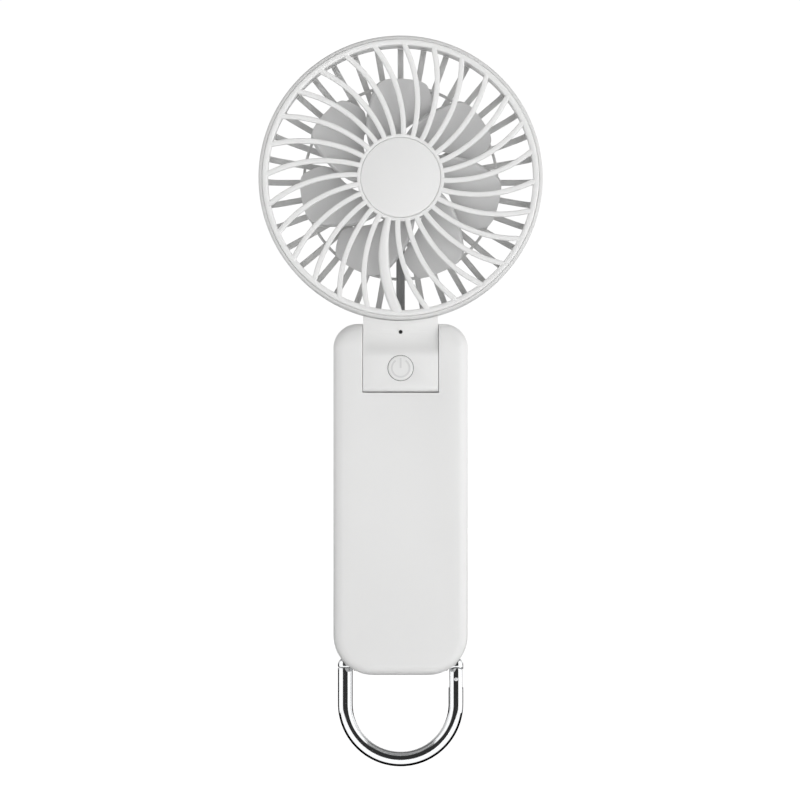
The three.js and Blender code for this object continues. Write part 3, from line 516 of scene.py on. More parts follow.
NECK_SCREWS = [(-7.9, hinge.z - 5.9), (7.9, hinge.z - 5.9)]
HEAD_SCREWS = [(-5.0, hinge.z + 7.6), (5.0, hinge.z + 7.6)]
back_cover = neck_cover(BACK_PART, FAR)
boolean(back_cover, [rod_y(1.9, -5, FAR, x, z, 40) for x, z in NECK_SCREWS]
        + [rod_y(1.8, -1.3, FAR, x, z, 40) for x, z in HEAD_SCREWS])
soften(back_cover, 0.22, 3, 40)
finished(back_cover, "neck_back", shell_plastic, "head", ["neck_back_cover"])


# ---- power button -----------------------------------------------------------------------------
# A round white cap in a close hole, with a shallow ring and bar pressed into its face. Its tabs
# behind the panel keep it in, and it pushes the switch on the board.
BUTTON_RADIUS = 3.78
MARK_RING, MARK_LINE, MARK_DEPTH, MARK_GAP = 2.65, 0.55, 0.12, 34
BUTTON_STEM, BUTTON_SKIN = 1.5, 0.4
button_low, button_high = (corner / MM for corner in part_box("power_button"))


def turned(name, profile, middle, steps=160, upright=False):
    """A profile of (radius, y) turned about the fan's axis, or of (radius, z) about an upright one.

    It ends on the axis or closes on itself."""
    shape = bmesh.new()
    rings = []
    for radius, along in profile:
        ring = []
        for i in range(steps if radius else 1):
            angle = math.tau * i / steps
            across, rise = radius * math.cos(angle), radius * math.sin(angle)
            ring.append(shape.verts.new((middle.x + across, middle.y + rise, along) if upright
                                        else (middle.x + across, along, middle.z + rise)))
        rings.append(ring)
    pairs = list(zip(rings, rings[1:]))
    if profile[0][0] > 0:
        pairs.append((rings[-1], rings[0]))
    for first, second in pairs:
        for i in range(steps):
            j = (i + 1) % steps
            corners = [first[i % len(first)], first[j % len(first)], second[j % len(second)],
                       second[i % len(second)]]
            unique = list(dict.fromkeys(corners))
            if len(unique) > 2:
                shape.faces.new(unique)
    return mesh_object(name, shape)


def joined(name, pieces):
    """Several pieces in one mesh."""
    shape = bmesh.new()
    for piece in pieces:
        shape.from_mesh(piece.data)
        bpy.data.objects.remove(piece)
    whole = from_shape(name, shape)
    whole.data.set_sharp_from_angle(angle=SHARP_ANGLE)
    return whole


def mark_arc(radius, width, y0, y1, gap, steps=72):
    """An open ring with its gap at the top."""
    loops = []
    for i in range(steps + 1):
        angle = math.radians(90 + gap + (360 - 2 * gap) * i / steps)
        out = Vector((math.cos(angle), 0, math.sin(angle)))
        middle = Vector((0, 0, button_z)) + out * radius
        near, away = middle - out * width / 2, middle + out * width / 2
        loops.append([(near.x, y0, near.z), (away.x, y0, away.z), (away.x, y1, away.z),
                      (near.x, y1, near.z)])
    return stacked("arc", loops)


button_middle = Vector((0, 0, button_z))
skin_back = button_high.y - BUTTON_SKIN
button = turned("button", [
    (0, button_low.y), (BUTTON_RADIUS - 0.35, button_low.y), (BUTTON_RADIUS - 0.1, button_low.y + 0.1),
    (BUTTON_RADIUS, button_low.y + 0.35), (BUTTON_RADIUS, skin_back), (BUTTON_STEM, skin_back),
    (BUTTON_STEM, button_high.y), (0, button_high.y)], button_middle, 96)
mark_floor = button_low.y + MARK_DEPTH
boolean(button, [
    mark_arc(MARK_RING, MARK_LINE, button_low.y - 1, mark_floor, MARK_GAP),
    box_tool(-MARK_LINE / 2, MARK_LINE / 2, button_low.y - 1, mark_floor, button_z, button_z + 3.1)])
soften(button, 0.05, 2, 50)
ink_front, ink_back = mark_floor - 0.06, mark_floor + 0.2
mark = joined("mark", [
    mark_arc(MARK_RING, MARK_LINE, ink_front, ink_back, MARK_GAP),
    box_tool(-MARK_LINE / 2, MARK_LINE / 2, ink_front, ink_back, button_z + 0.05, button_z + 3.05)])
mark_ink = plastic("mark_ink", (0.72, 0.72, 0.72), 0.4)
mark.data.materials.append(mark_ink)
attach(mark, "button")
mark.name = mark.data.name = "power_mark"
button_plastic = plastic("button_plastic", (0.86, 0.86, 0.855), 0.36)
finished(button, "button_cap", button_plastic, "button", ["power_button"])


# ---- indicator --------------------------------------------------------------------------------
# A smoked light pipe, black when it is off, that stands just inside its hole above the button.
LENS_FACE, LENS_RADIUS = -18.75, 0.52
lens_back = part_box("indicator_lens")[1].y / MM
lens_piece = turned("lens", [
    (0, LENS_FACE), (0.35, LENS_FACE + 0.05), (LENS_RADIUS, LENS_FACE + 0.25), (LENS_RADIUS, lens_back),
    (0, lens_back)], Vector((0, 0, indicator_z)), 32)
lens_piece.data.shade_smooth()
smoked = plastic("smoked_lens", (0.006, 0.006, 0.007), 0.22, 0.004)
finished(lens_piece, "indicator", smoked, "head", ["indicator_lens"])


# ---- rim and rear grille ----------------------------------------------------------------------
# Two white mouldings, given a darker grey colour that is painted shade. The rim is the side wall of the head,
# with a tang that goes down into the neck; behind it thirty-six straight spokes curve forward into a thin
# band, lapped inside the rim.
HEAD_FRONT, HEAD_BACK = -25.0, 2.0
RIM_WALL, CAGE_WALL = 1.1, 2.0
SPOKE_COUNT, SPOKE_WIDTH, SPOKE_THICK = 36, 1.8, 1.7
POST_WIDTH = 2.7
INNER_RING, MIDDLE_RING, SEAT_RADIUS = 19.0, 29.6, 12.4
WALL_BACK = HEAD_BACK - 6.6
CAGE_INNER = HEAD_RADIUS - CAGE_WALL
GRILLE_OUTER = HEAD_RADIUS - RIM_WALL - 0.04
SHELF = HEAD_FRONT + 4.3
LAP, LAP_PLAY, BAND_OUTER = 1.2, 0.15, CAGE_INNER + 1
SEAT_FRONT, POST_SPOKE = -1.2, 27
MOTOR_SCREW_CIRCLE, MOTOR_SCREW_ANGLES = 7.0, (90, 210, 330)


def real_and_painted(tree, copies, given, result):
    """The end of a tree: the copies made real, given their material, and passed out."""
    real, paint = node(tree, "GeometryNodeRealizeInstances"), node(tree, "GeometryNodeSetMaterial")
    wire(tree, (copies, 0, real, 0), (real, 0, paint, "Geometry"),
         (given, "Material", paint, "Material"), (paint, 0, result, 0))


def tree_sockets(tree, kinds):
    """Named inputs for a tree, and its one geometry output; the identifiers of the inputs."""
    sockets = {}
    for label, kind in kinds:
        socket = tree.interface.new_socket(label, in_out="INPUT", socket_type="NodeSocket" + kind)
        sockets[label] = socket.identifier
    tree.interface.new_socket("Geometry", in_out="OUTPUT", socket_type="NodeSocketGeometry")
    return sockets


def grown(piece, tree, sockets, values):
    """The piece after a tree has run on it with these values."""
    step = piece.modifiers.new("copies", "NODES")
    step.node_group = tree
    for label, value in values.items():
        step[sockets[label]] = value
    return plain(piece)


def circle_tree():
    """Copies of one piece round the fan's axis, with one place left out."""
    tree = bpy.data.node_groups.new("round_the_axis", "GeometryNodeTree")
    sockets = tree_sockets(tree, (("Piece", "Object"), ("Count", "Int"), ("Start", "Float"), ("Skip", "Int"),
                                  ("Middle", "Vector"), ("Material", "Material")))
    given, result = node(tree, "NodeGroupInput"), node(tree, "NodeGroupOutput")
    piece, points = node(tree, "GeometryNodeObjectInfo"), node(tree, "GeometryNodePoints")
    index = node(tree, "GeometryNodeInputIndex")
    share, turn, begin, back = (node(tree, "ShaderNodeMath") for _ in range(4))
    share.operation, turn.operation, begin.operation, back.operation = "DIVIDE", "MULTIPLY", "ADD", "MULTIPLY"
    turn.inputs[1].default_value = math.tau
    back.inputs[1].default_value = -1.0
    euler, rotation = node(tree, "ShaderNodeCombineXYZ"), node(tree, "FunctionNodeEulerToRotation")
    keep = node(tree, "FunctionNodeCompare")
    keep.data_type, keep.operation = "INT", "NOT_EQUAL"
    copies = node(tree, "GeometryNodeInstanceOnPoints")
    wire(tree, (given, "Piece", piece, "Object"), (given, "Count", points, "Count"),
         (given, "Middle", points, "Position"), (index, 0, share, 0), (given, "Count", share, 1),
         (share, 0, turn, 0), (turn, 0, begin, 0), (given, "Start", begin, 1), (begin, 0, back, 0),
         (back, 0, euler, "Y"), (euler, 0, rotation, 0), (index, 0, keep, "A"),
         (given, "Skip", keep, "B"), (points, 0, copies, "Points"), (keep, 0, copies, "Selection"),
         (piece, "Geometry", copies, "Instance"), (rotation, 0, copies, "Rotation"))
    real_and_painted(tree, copies, given, result)
    return tree, sockets


round_tree, round_sockets = circle_tree()


def round_the_axis(name, piece, count, start_degrees, material, skip=-1):
    """So many copies of a piece that points along +X, turned round the fan's axis."""
    copies = grown(new_object(name, bpy.data.meshes.new(name)), round_tree, round_sockets, {
        "Piece": piece, "Count": count, "Start": math.radians(start_degrees), "Skip": skip,
        "Middle": (0.0, 0.0, head.z * MM), "Material": material})
    bpy.data.objects.remove(piece)
    return copies


def bar_section(width, depth, corner, steps=3):
    """A rectangle with rounded corners, as (across, up) pairs about its middle."""
    section = []
    for side, top, start in ((1, 1, 0), (-1, 1, 90), (-1, -1, 180), (1, -1, 270)):
        for i in range(steps + 1):
            angle = math.radians(start + 90 * i / steps)
            section.append((side * (width / 2 - corner) + corner * math.cos(angle),
                            top * (depth / 2 - corner) + corner * math.sin(angle)))
    return section


def heading(path, i):
    """The way a path runs at one of its points."""
    return (path[min(i + 1, len(path) - 1)] - path[max(i - 1, 0)]).normalized()


def bar(name, stations):
    """A bar through stations of (middle, across, up, section)."""
    piece = stacked(name, [[middle + across * a + up * b for a, b in section]
                           for middle, across, up, section in stations])
    piece.data.shade_smooth()
    return piece


def spoke(start, width):
    """One spoke along +X, from a radius out to the side wall, into which it curves forward."""
    bend, middle_y, end = HEAD_RADIUS - 7.1, HEAD_BACK - SPOKE_THICK / 2, BAND_OUTER - 0.5
    path = [Vector((start + (bend - start) * i / 6, middle_y, 0)) for i in range(6)]
    first, corner = Vector((bend, middle_y, 0)), Vector((end, middle_y, 0))
    last = Vector((end, WALL_BACK - 0.2, 0))
    for i in range(11):
        t = i / 10
        path.append(first * (1 - t) ** 2 + corner * 2 * t * (1 - t) + last * t ** 2)
    stations = []
    for i, middle in enumerate(path):
        along = heading(path, i)
        up = Vector((-along.y, along.x, 0))
        stations.append((middle, Vector((0, 0, 1)), up, bar_section(width, SPOKE_THICK, 0.35)))
    return bar("spoke", stations)


def ring_bar(name, radius, width, y0, y1):
    ring = turned(name, [(radius - width / 2, y0), (radius + width / 2, y0), (radius + width / 2, y1),
                         (radius - width / 2, y1)], head)
    return soften(ring, 0.2, 2)


# White plastic given a darker grey than the other white parts: painted shade for the rim wall and rear
# grille.
cage_plastic = plastic("cage_plastic", (0.72, 0.72, 0.715), 0.42)
side_wall = turned("wall", [
    (HEAD_RADIUS - RIM_WALL, HEAD_FRONT + 0.7), (HEAD_RADIUS - RIM_WALL + 0.1, HEAD_FRONT + 0.6),
    (HEAD_RADIUS - 0.85, HEAD_FRONT + 0.6), (HEAD_RADIUS - 0.5, HEAD_FRONT + 0.7),
    (HEAD_RADIUS - 0.22, HEAD_FRONT + 0.95), (HEAD_RADIUS - 0.05, HEAD_FRONT + 1.3),
    (HEAD_RADIUS, HEAD_FRONT + 1.8), (HEAD_RADIUS, WALL_BACK - 0.4), (HEAD_RADIUS - 0.3, WALL_BACK),
    (BAND_OUTER + LAP_PLAY, WALL_BACK), (BAND_OUTER + LAP_PLAY, WALL_BACK - LAP - LAP_PLAY),
    (CAGE_INNER, WALL_BACK - LAP - LAP_PLAY), (CAGE_INNER, SHELF),
    (HEAD_RADIUS - RIM_WALL, SHELF)], head, 288)
soften(side_wall, 0.12, 2)
seat = turned("seat", [(0, SEAT_FRONT), (SEAT_RADIUS, SEAT_FRONT), (SEAT_RADIUS, HEAD_BACK),
                       (0, HEAD_BACK)], head)
motor_screw_places = [(MOTOR_SCREW_CIRCLE * math.cos(math.radians(a)),
                       head.z + MOTOR_SCREW_CIRCLE * math.sin(math.radians(a)))
                      for a in MOTOR_SCREW_ANGLES]
boolean(seat, [rod_y(1.6, HEAD_BACK - 1.1, FAR, x, z, 40) for x, z in motor_screw_places]
        + [rod_y(0.9, -FAR, FAR, x, z, 24) for x, z in motor_screw_places])
soften(seat, 0.35, 3)
arm = bar("arm", [(Vector((radius, HEAD_BACK - SPOKE_THICK / 2, 0)), Vector((0, 0, 1)), Vector((0, 1, 0)),
                   bar_section(2.2, SPOKE_THICK - 0.1, 0.35))
                  for radius in (SEAT_RADIUS - 0.8, INNER_RING)])
post = spoke(SEAT_RADIUS - 1, POST_WIDTH)
tang = box_tool(-TANG_HALF, TANG_HALF, TANG_FRONT, TANG_BACK, TANG_FOOT, head.z - CAGE_INNER + 1.2)
boolean(tang, [rod_y(BAND_OUTER + 0.4, -FAR, FAR, 0, head.z, 160),
               rod(1.3, (0, -8, hinge.z), (0, -8, head.z - 30))])
soften(tang, 0.3)
back_band = turned("band", [
    (CAGE_INNER, WALL_BACK - LAP), (BAND_OUTER, WALL_BACK - LAP), (BAND_OUTER, WALL_BACK + 0.7),
    (BAND_OUTER - 0.3, WALL_BACK + 1.1), (CAGE_INNER + 0.1, WALL_BACK + 1.2)], head, 288)
soften(back_band, 0.1, 2)
rim_piece = joined("rim_moulding", [side_wall, tang])
finished(rim_piece, "rim_wall", cage_plastic, "head", ["head_rim"])
rear_grille = joined("rear_grille_moulding", [
    back_band, seat,
    round_the_axis("spokes", spoke(INNER_RING, SPOKE_WIDTH), SPOKE_COUNT, 0, cage_plastic, POST_SPOKE),
    round_the_axis("arms", arm, 6, 30, cage_plastic),
    round_the_axis("post", post, 1, 270, cage_plastic),
    ring_bar("inner_ring", INNER_RING, 1.2, HEAD_BACK - SPOKE_THICK, HEAD_BACK),
    ring_bar("middle_ring", MIDDLE_RING, 0.86, HEAD_BACK - SPOKE_THICK - 0.1, HEAD_BACK - 0.6)])
finished(rear_grille, "rear_cage", cage_plastic, "head", ["rear_grille"])


# ---- front grille -----------------------------------------------------------------------------
# A white moulding that snaps into the rim: twenty-seven swept ribs between the rim and the hub ring,
# and at the foot of the grille one more that is wide and rounded, and stands proud.
RIB_COUNT, RIB_WIDTH, RIB_DEPTH = 28, 1.58, 2.0
RIB_START, RIB_SWEEP, RIB_POWER = 9.2, 15.0, 1.35
RIB_INNER, RIB_OUTER = 13.5, 39.9
WIDE_RIB, WIDE_RIB_WIDTHS, WIDE_RIB_PROUD = 19, (1.9, 3.2), 0.4
HUB_RADIUS, CAP_RADIUS = 13.1, 11.96
RIM_INNER = GRILLE_OUTER - 1.75


def rib_angle(radius):
    share = min(max((radius - RIB_INNER) / (RIB_OUTER - RIB_INNER), 0), 1)
    return math.radians(RIB_SWEEP * share ** RIB_POWER)


def front_rib(hub_width, rim_width, y_front, corner):
    """One rib whose foot is on +X; it leaves the hub straight and sweeps round as it goes out."""
    steps = 26
    first, last = HUB_RADIUS - 0.6, RIM_INNER + 0.5
    depth = HEAD_FRONT + RIB_DEPTH - y_front
    stations = []
    for i in range(steps + 1):
        radius = first + (last - first) * i / steps
        here, ahead = (Vector((r * math.cos(rib_angle(r)), 0, r * math.sin(rib_angle(r))))
                       for r in (radius, radius + 0.1))
        along = (ahead - here).normalized()
        across = Vector((-along.z, 0, along.x))
        width = hub_width + (rim_width - hub_width) * min(1, 2.5 * i / steps)
        middle = here + Vector((0, y_front + depth / 2, 0))
        stations.append((middle, across, Vector((0, 1, 0)),
                         bar_section(width, depth, min(corner, width / 2.05), 4)))
    return bar("rib", stations)


grille_plastic = plastic("grille_plastic", (0.86, 0.86, 0.855), 0.4)
rim = turned("rim", [
    (RIM_INNER, HEAD_FRONT + 0.35), (RIM_INNER + 0.35, HEAD_FRONT + 0.08), (RIM_INNER + 0.8, HEAD_FRONT),
    (GRILLE_OUTER - 0.45, HEAD_FRONT), (GRILLE_OUTER - 0.12, HEAD_FRONT + 0.15),
    (GRILLE_OUTER, HEAD_FRONT + 0.5), (GRILLE_OUTER, SHELF - 0.15), (RIM_INNER, SHELF - 0.15)], head, 288)
soften(rim, 0.12, 2)
hub_ring = turned("hub_ring", [
    (0, HEAD_FRONT + 1.3), (CAP_RADIUS + 0.07, HEAD_FRONT + 1.3), (CAP_RADIUS + 0.07, HEAD_FRONT + 0.15),
    (CAP_RADIUS + 0.17, HEAD_FRONT + 0.04), (HUB_RADIUS - 0.35, HEAD_FRONT), (HUB_RADIUS, HEAD_FRONT + 0.35),
    (HUB_RADIUS, HEAD_FRONT + 2.4), (0, HEAD_FRONT + 2.4)], head, 192)
soften(hub_ring, 0.08, 2)
wide_rib_start = RIB_START + WIDE_RIB * 360 / RIB_COUNT
front_grille = joined("front_grille_moulding", [
    rim, hub_ring,
    round_the_axis("ribs", front_rib(RIB_WIDTH, RIB_WIDTH, HEAD_FRONT, 0.42), RIB_COUNT, RIB_START,
                   grille_plastic, WIDE_RIB),
    round_the_axis("wide_rib", front_rib(*WIDE_RIB_WIDTHS, HEAD_FRONT - WIDE_RIB_PROUD, 1.1), 1,
                   wide_rib_start, grille_plastic)])
finished(front_grille, "front_cage", grille_plastic, "head", ["front_grille"])


# ---- hub cap ----------------------------------------------------------------------------------
# A blank white disc, moulded by itself and pressed into the hub ring. A hairline joint shows round
# it, and its edge is eased.
hub_cap = turned("cap", [
    (0, HEAD_FRONT + 0.02), (CAP_RADIUS - 0.3, HEAD_FRONT + 0.05), (CAP_RADIUS - 0.08, HEAD_FRONT + 0.12),
    (CAP_RADIUS, HEAD_FRONT + 0.3), (CAP_RADIUS, HEAD_FRONT + 1.1), (0, HEAD_FRONT + 1.1)], head, 192)
soften(hub_cap, 0.05, 2)
finished(hub_cap, "hub_cap_disc", grille_plastic, "head", ["hub_cap"])


# ---- impeller ---------------------------------------------------------------------------------
# A white moulding of a hub cup and seven broad blades, each pulled forward along one edge, so that it
# draws air from behind. Its grey colour is painted shade for where it sits behind the grille. The cup covers
# the motor.
BLADE_COUNT, BLADE_TIP, BLADE_THICK = 7, 30.5, 1.5
BLADE_PHASE, BLADE_MIDDLE, BLADE_PITCH, PITCH_CENTRE = 37.5, -15.25, 1 / 6, 9.0
LIP_WIDTH, LIP_DROP = 1.1, 1.5
CUP_RADIUS, CUP_WALL, CUP_FLOOR, CUP_FRONT, CUP_BACK = 12.2, 1.2, 1.4, -21.6, -8.0
# The edges are given as (radius, degrees round the axis), from the cup to the tip.
REAR_EDGE = [(11.6, 7), (14, 1.5), (16.5, -8), (19.5, -17), (23, -22.5), (26.5, -19.5), (29, -16),
             (30.1, -13.5), (30.5, -10)]
LIP_EDGE = [(11.6, 48), (13.5, 45), (17.9, 36.5), (23.7, 25.5), (29.3, 16), (30.1, 13.5), (30.5, 10)]


def along_edge(points, radius):
    """The edge's angle at a radius, on a smooth curve through its points."""
    for i in range(len(points) - 1):
        (r1, a1), (r2, a2) = points[i], points[i + 1]
        if radius <= r2:
            break
    r0, a0 = points[max(i - 1, 0)]
    r3, a3 = points[min(i + 2, len(points) - 1)]
    slope1 = (a2 - a0) / (r2 - r0)
    slope2 = (a3 - a1) / (r3 - r1)
    t = min(max((radius - r1) / (r2 - r1), 0), 1)
    span = r2 - r1
    return (a1 * (2 * t ** 3 - 3 * t ** 2 + 1) + slope1 * span * (t ** 3 - 2 * t ** 2 + t)
            + a2 * (3 * t ** 2 - 2 * t ** 3) + slope2 * span * (t ** 3 - t ** 2))


def one_blade():
    """A blade as a thin twisted sheet with two faces, its front edge turned back in a narrow lip."""
    rows, columns = 30, 24
    shape = bmesh.new()
    faces = {}
    for j in range(rows + 1):
        share = j / rows
        radius = REAR_EDGE[0][0] + (BLADE_TIP - REAR_EDGE[0][0]) * (1 - (1 - share) ** 1.6)
        low, high = along_edge(REAR_EDGE, radius), along_edge(LIP_EDGE, radius)
        for i in range(columns + 1):
            degrees = low + (high - low) * (1 - (1 - i / columns) ** 1.7)
            angle = math.radians(degrees)
            y = BLADE_MIDDLE - BLADE_PITCH * (degrees - PITCH_CENTRE)
            from_edge = math.radians(high - degrees) * radius
            y += LIP_DROP * max(0, 1 - from_edge / LIP_WIDTH) ** 2
            for side in (0, 1):
                faces[j, i, side] = shape.verts.new((
                    radius * math.cos(angle), y + (side - 0.5) * BLADE_THICK, radius * math.sin(angle)))
    for j in range(rows):
        for i in range(columns):
            for side in (0, 1):
                shape.faces.new([faces[j, i, side], faces[j + 1, i, side], faces[j + 1, i + 1, side],
                                 faces[j, i + 1, side]])
        for i in (0, columns):
            shape.faces.new([faces[j, i, 0], faces[j, i, 1], faces[j + 1, i, 1], faces[j + 1, i, 0]])
    for i in range(columns):
        for j in (0, rows):
            shape.faces.new([faces[j, i, 0], faces[j, i + 1, 0], faces[j, i + 1, 1], faces[j, i, 1]])
    return soften(mesh_object("blade", shape), 0.3, 2, 50)


# White plastic given a grey colour: painted shade for the impeller behind the grille.
rotor_plastic = plastic("rotor_plastic", (0.7, 0.7, 0.7), 0.38)
cup = turned("cup", [
    (0, CUP_FRONT), (CUP_RADIUS - 1.2, CUP_FRONT), (CUP_RADIUS - 0.35, CUP_FRONT + 0.35),
    (CUP_RADIUS, CUP_FRONT + 1.2), (CUP_RADIUS, CUP_BACK), (CUP_RADIUS - CUP_WALL, CUP_BACK),
    (CUP_RADIUS - CUP_WALL, CUP_FRONT + CUP_FLOOR), (0, CUP_FRONT + CUP_FLOOR)], head, 128)
soften(cup, 0.15, 2)
impeller = joined("impeller_moulding", [
    cup, round_the_axis("blades", one_blade(), BLADE_COUNT, BLADE_PHASE, rotor_plastic)])
finished(impeller, "seven_blades", rotor_plastic, "rotor", ["impeller"])


# ---- carabiner ring ---------------------------------------------------------------------------
# Polished chrome over zinc, 4.5 mm thick. The U-shaped bow is forked at the right and riveted to the
# gate; the gate is a thin bar through the handle's lug, with a round knuckle at each end.
rivet = Vector(joint_place["gate_open"]["pos_m"]) / MM
TUBE, RING_OUTER, STRAIGHT = 2.25, 19.1, 11.95
LEG = RING_OUTER - TUBE
CROWN = 3.4
BOW_TOP = rivet.z + CROWN
ARC_Z = ring_axis.z - STRAIGHT
TONGUE, TONGUE_HALF, TONGUE_PLAY = 1.4, 2.0, 0.3
SLOT_FLOOR = rivet.z - TONGUE_HALF - 2 * TONGUE_PLAY
GATE_BAR, GATE_COLLAR = 1.2, 1.9


def chrome_material():
    """Polished chrome with a trace of haze that comes and goes."""
    material, tree, shader = new_material("polished_chrome")
    where = node(tree, "ShaderNodeTexCoord")
    haze = node(tree, "ShaderNodeTexNoise", {"Scale": 160.0, "Detail": 4.0})
    gloss = node(tree, "ShaderNodeMapRange", {"To Min": 0.04, "To Max": 0.1})
    wire(tree, (where, "Object", haze, "Vector"), (haze, "Fac", gloss, "Value"),
         (gloss, "Result", shader, "Roughness"))
    shader.inputs["Base Color"].default_value = (0.86, 0.87, 0.88, 1)
    shader.inputs["Metallic"].default_value = 1.0
    return material


def bow_path(leg_steps=8, arc_steps=72):
    """Down the left leg, round the foot and up the right leg."""
    path = [Vector((-LEG, ring_axis.y, BOW_TOP - (BOW_TOP - ARC_Z) * i / leg_steps))
            for i in range(leg_steps)]
    for i in range(arc_steps + 1):
        angle = math.pi + math.pi * i / arc_steps
        path.append(Vector((LEG * math.cos(angle), ring_axis.y, ARC_Z + LEG * math.sin(angle))))
    return path + [Vector((LEG, ring_axis.y, ARC_Z + (BOW_TOP - ARC_Z) * (i + 1) / leg_steps))
                   for i in range(leg_steps)]


def round_bar(name, path, radius, steps=32):
    stations = []
    section = [(radius * math.cos(a), radius * math.sin(a))
               for a in (math.tau * i / steps for i in range(steps))]
    for i, middle in enumerate(path):
        along, up = heading(path, i), Vector((0, 1, 0))
        stations.append((middle, along.cross(up).normalized(), up, section))
    return bar(name, stations)


def knuckle(x, bottom):
    """A round post with a ball end, up to the gate's own axis."""
    dome = [(TUBE * math.cos(math.radians(a)), ring_axis.z + TUBE * math.sin(math.radians(a)))
            for a in range(10, 90, 10)]
    profile = [(0, bottom), (TUBE, bottom), (TUBE, ring_axis.z)] + dome + [(0, ring_axis.z + TUBE)]
    return turned("knuckle", profile, Vector((x, ring_axis.y, 0)), 40, upright=True)


chrome = chrome_material()
bow = round_bar("bow", bow_path(), TUBE)
crown = box_tool(LEG - 3, LEG + 3, -FAR, FAR, rivet.z, FAR)
boolean(crown, [rod_y(CROWN, -FAR - 5, FAR + 5, LEG, rivet.z, 96)])
slot_half = TONGUE / 2 + TONGUE_PLAY
boolean(bow, [crown, box_tool(LEG - 4, LEG + 4, ring_axis.y - slot_half, ring_axis.y + slot_half,
                              SLOT_FLOOR, FAR)])
soften(bow, 0.12, 2, 40)
finished(bow, "chrome_bow", chrome, "bow", ["carabiner_bow"])

gate = rod(GATE_BAR, (-LEG, ring_axis.y, ring_axis.z), (LEG, ring_axis.y, ring_axis.z))
collar_in = TAIL_LUG_HALF + 0.5
gap_z = BOW_TOP + 0.3
boolean(gate, [rod(GATE_COLLAR, (side * collar_in, ring_axis.y, ring_axis.z),
                   (side * LEG, ring_axis.y, ring_axis.z)) for side in (-1, 1)]
        + [knuckle(-LEG, gap_z), knuckle(LEG, gap_z - 1)], "UNION")
boolean(gate, [box_tool(-LEG - 2.6, -LEG + 2.6, -FAR, FAR, -FAR, gap_z),
               rod_y(CROWN + TONGUE_PLAY, -FAR, FAR, LEG, rivet.z, 96)])
tongue_sides = ring_axis.y - TONGUE / 2, ring_axis.y + TONGUE / 2
tongue = box_tool(LEG - TONGUE_HALF, LEG + TONGUE_HALF, *tongue_sides, rivet.z, ring_axis.z)
boolean(tongue, [rod_y(TONGUE_HALF, *tongue_sides, LEG, rivet.z, 64)], "UNION")
boolean(gate, [tongue], "UNION")
soften(gate, 0.12, 2, 40)
finished(gate, "chrome_gate", chrome, "gate", ["carabiner_gate"])


# ---- gate rivet -------------------------------------------------------------------------------
# A small zinc-plated steel rivet through the fork and the tongue, headed over flush on both cheeks.
# Its ends are slightly domed.
RIVET_RADIUS = 0.67
rivet_head, rivet_foot = ring_axis.y - TUBE, ring_axis.y + TUBE
rivet_piece = turned("rivet", [
    (0, rivet_head - 0.06), (0.45, rivet_head - 0.04), (RIVET_RADIUS, rivet_head + 0.08),
    (RIVET_RADIUS, rivet_foot - 0.08), (0.45, rivet_foot + 0.04), (0, rivet_foot + 0.06)],
    Vector((LEG, 0, rivet.z)), 40)
rivet_piece.data.shade_smooth()


def metal(name, colour, rough_low, rough_high, scale=900.0, stretch=(1, 1, 1)):
    """Bare or plated metal, its gloss broken up by fine marks."""
    material, tree, shader = new_material(name)
    where = node(tree, "ShaderNodeTexCoord")
    turn = node(tree, "ShaderNodeMapping", {"Scale": stretch})
    marks = node(tree, "ShaderNodeTexNoise", {"Scale": scale, "Detail": 3.0})
    gloss = node(tree, "ShaderNodeMapRange", {"To Min": rough_low, "To Max": rough_high})
    relief = node(tree, "ShaderNodeBump", {"Strength": 0.2, "Distance": 0.01 * MM})
    wire(tree, (where, "Object", turn, "Vector"), (turn, "Vector", marks, "Vector"),
         (marks, "Fac", gloss, "Value"), (gloss, "Result", shader, "Roughness"),
         (marks, "Fac", relief, "Height"), (relief, "Normal", shader, "Normal"))
    shader.inputs["Base Color"].default_value = tuple(colour) + (1,)
    shader.inputs["Metallic"].default_value = 1.0
    return material


steel = metal("bright_steel", (0.7, 0.71, 0.73), 0.3, 0.5)
rivet_zinc = metal("rivet_zinc", (0.93, 0.93, 0.94), 0.75, 0.9)
finished(rivet_piece, "rivet_heads", rivet_zinc, "bow", ["gate_rivet"])


# ---- screws -----------------------------------------------------------------------------------
# Small pan-head screws with a crossed recess: four through the handle's lid, two in the neck, two
# into the tang, and three under the motor. Each sits at the foot of its counterbore.
def screw_tree():
    """Copies of one screw at the points of the mesh, scaled to the head."""
    tree = bpy.data.node_groups.new("screws_at_points", "GeometryNodeTree")
    sockets = tree_sockets(tree, (("Geometry", "Geometry"), ("Screw", "Object"), ("Head", "Float"),
                                  ("Material", "Material")))
    given, result = node(tree, "NodeGroupInput"), node(tree, "NodeGroupOutput")
    screw, copies = node(tree, "GeometryNodeObjectInfo"), node(tree, "GeometryNodeInstanceOnPoints")
    wire(tree, (given, "Screw", screw, "Object"), (given, "Geometry", copies, "Points"),
         (screw, "Geometry", copies, "Instance"), (given, "Head", copies, "Scale"))
    real_and_painted(tree, copies, given, result)
    return tree, sockets


def unit_screw():
    """A screw whose head has a radius of 1 mm, its seat at the origin and its head towards +Y."""
    middle = Vector((0, 0, 0))
    head_piece = turned("screw", [(0, -3.2), (0.48, -3.2), (0.48, 0), (1, 0), (1, 0.25), (0.88, 0.45),
                                  (0.6, 0.58), (0, 0.63)], middle, 40)
    long, wide, floor = 0.6, 0.11, 0.32
    boolean(head_piece, [box_tool(-long, long, floor, 2, -wide, wide),
                         box_tool(-wide, wide, floor, 2, -long, long)])
    return soften(head_piece, 0.04, 2, 40)


screws_tree, screws_sockets = screw_tree()


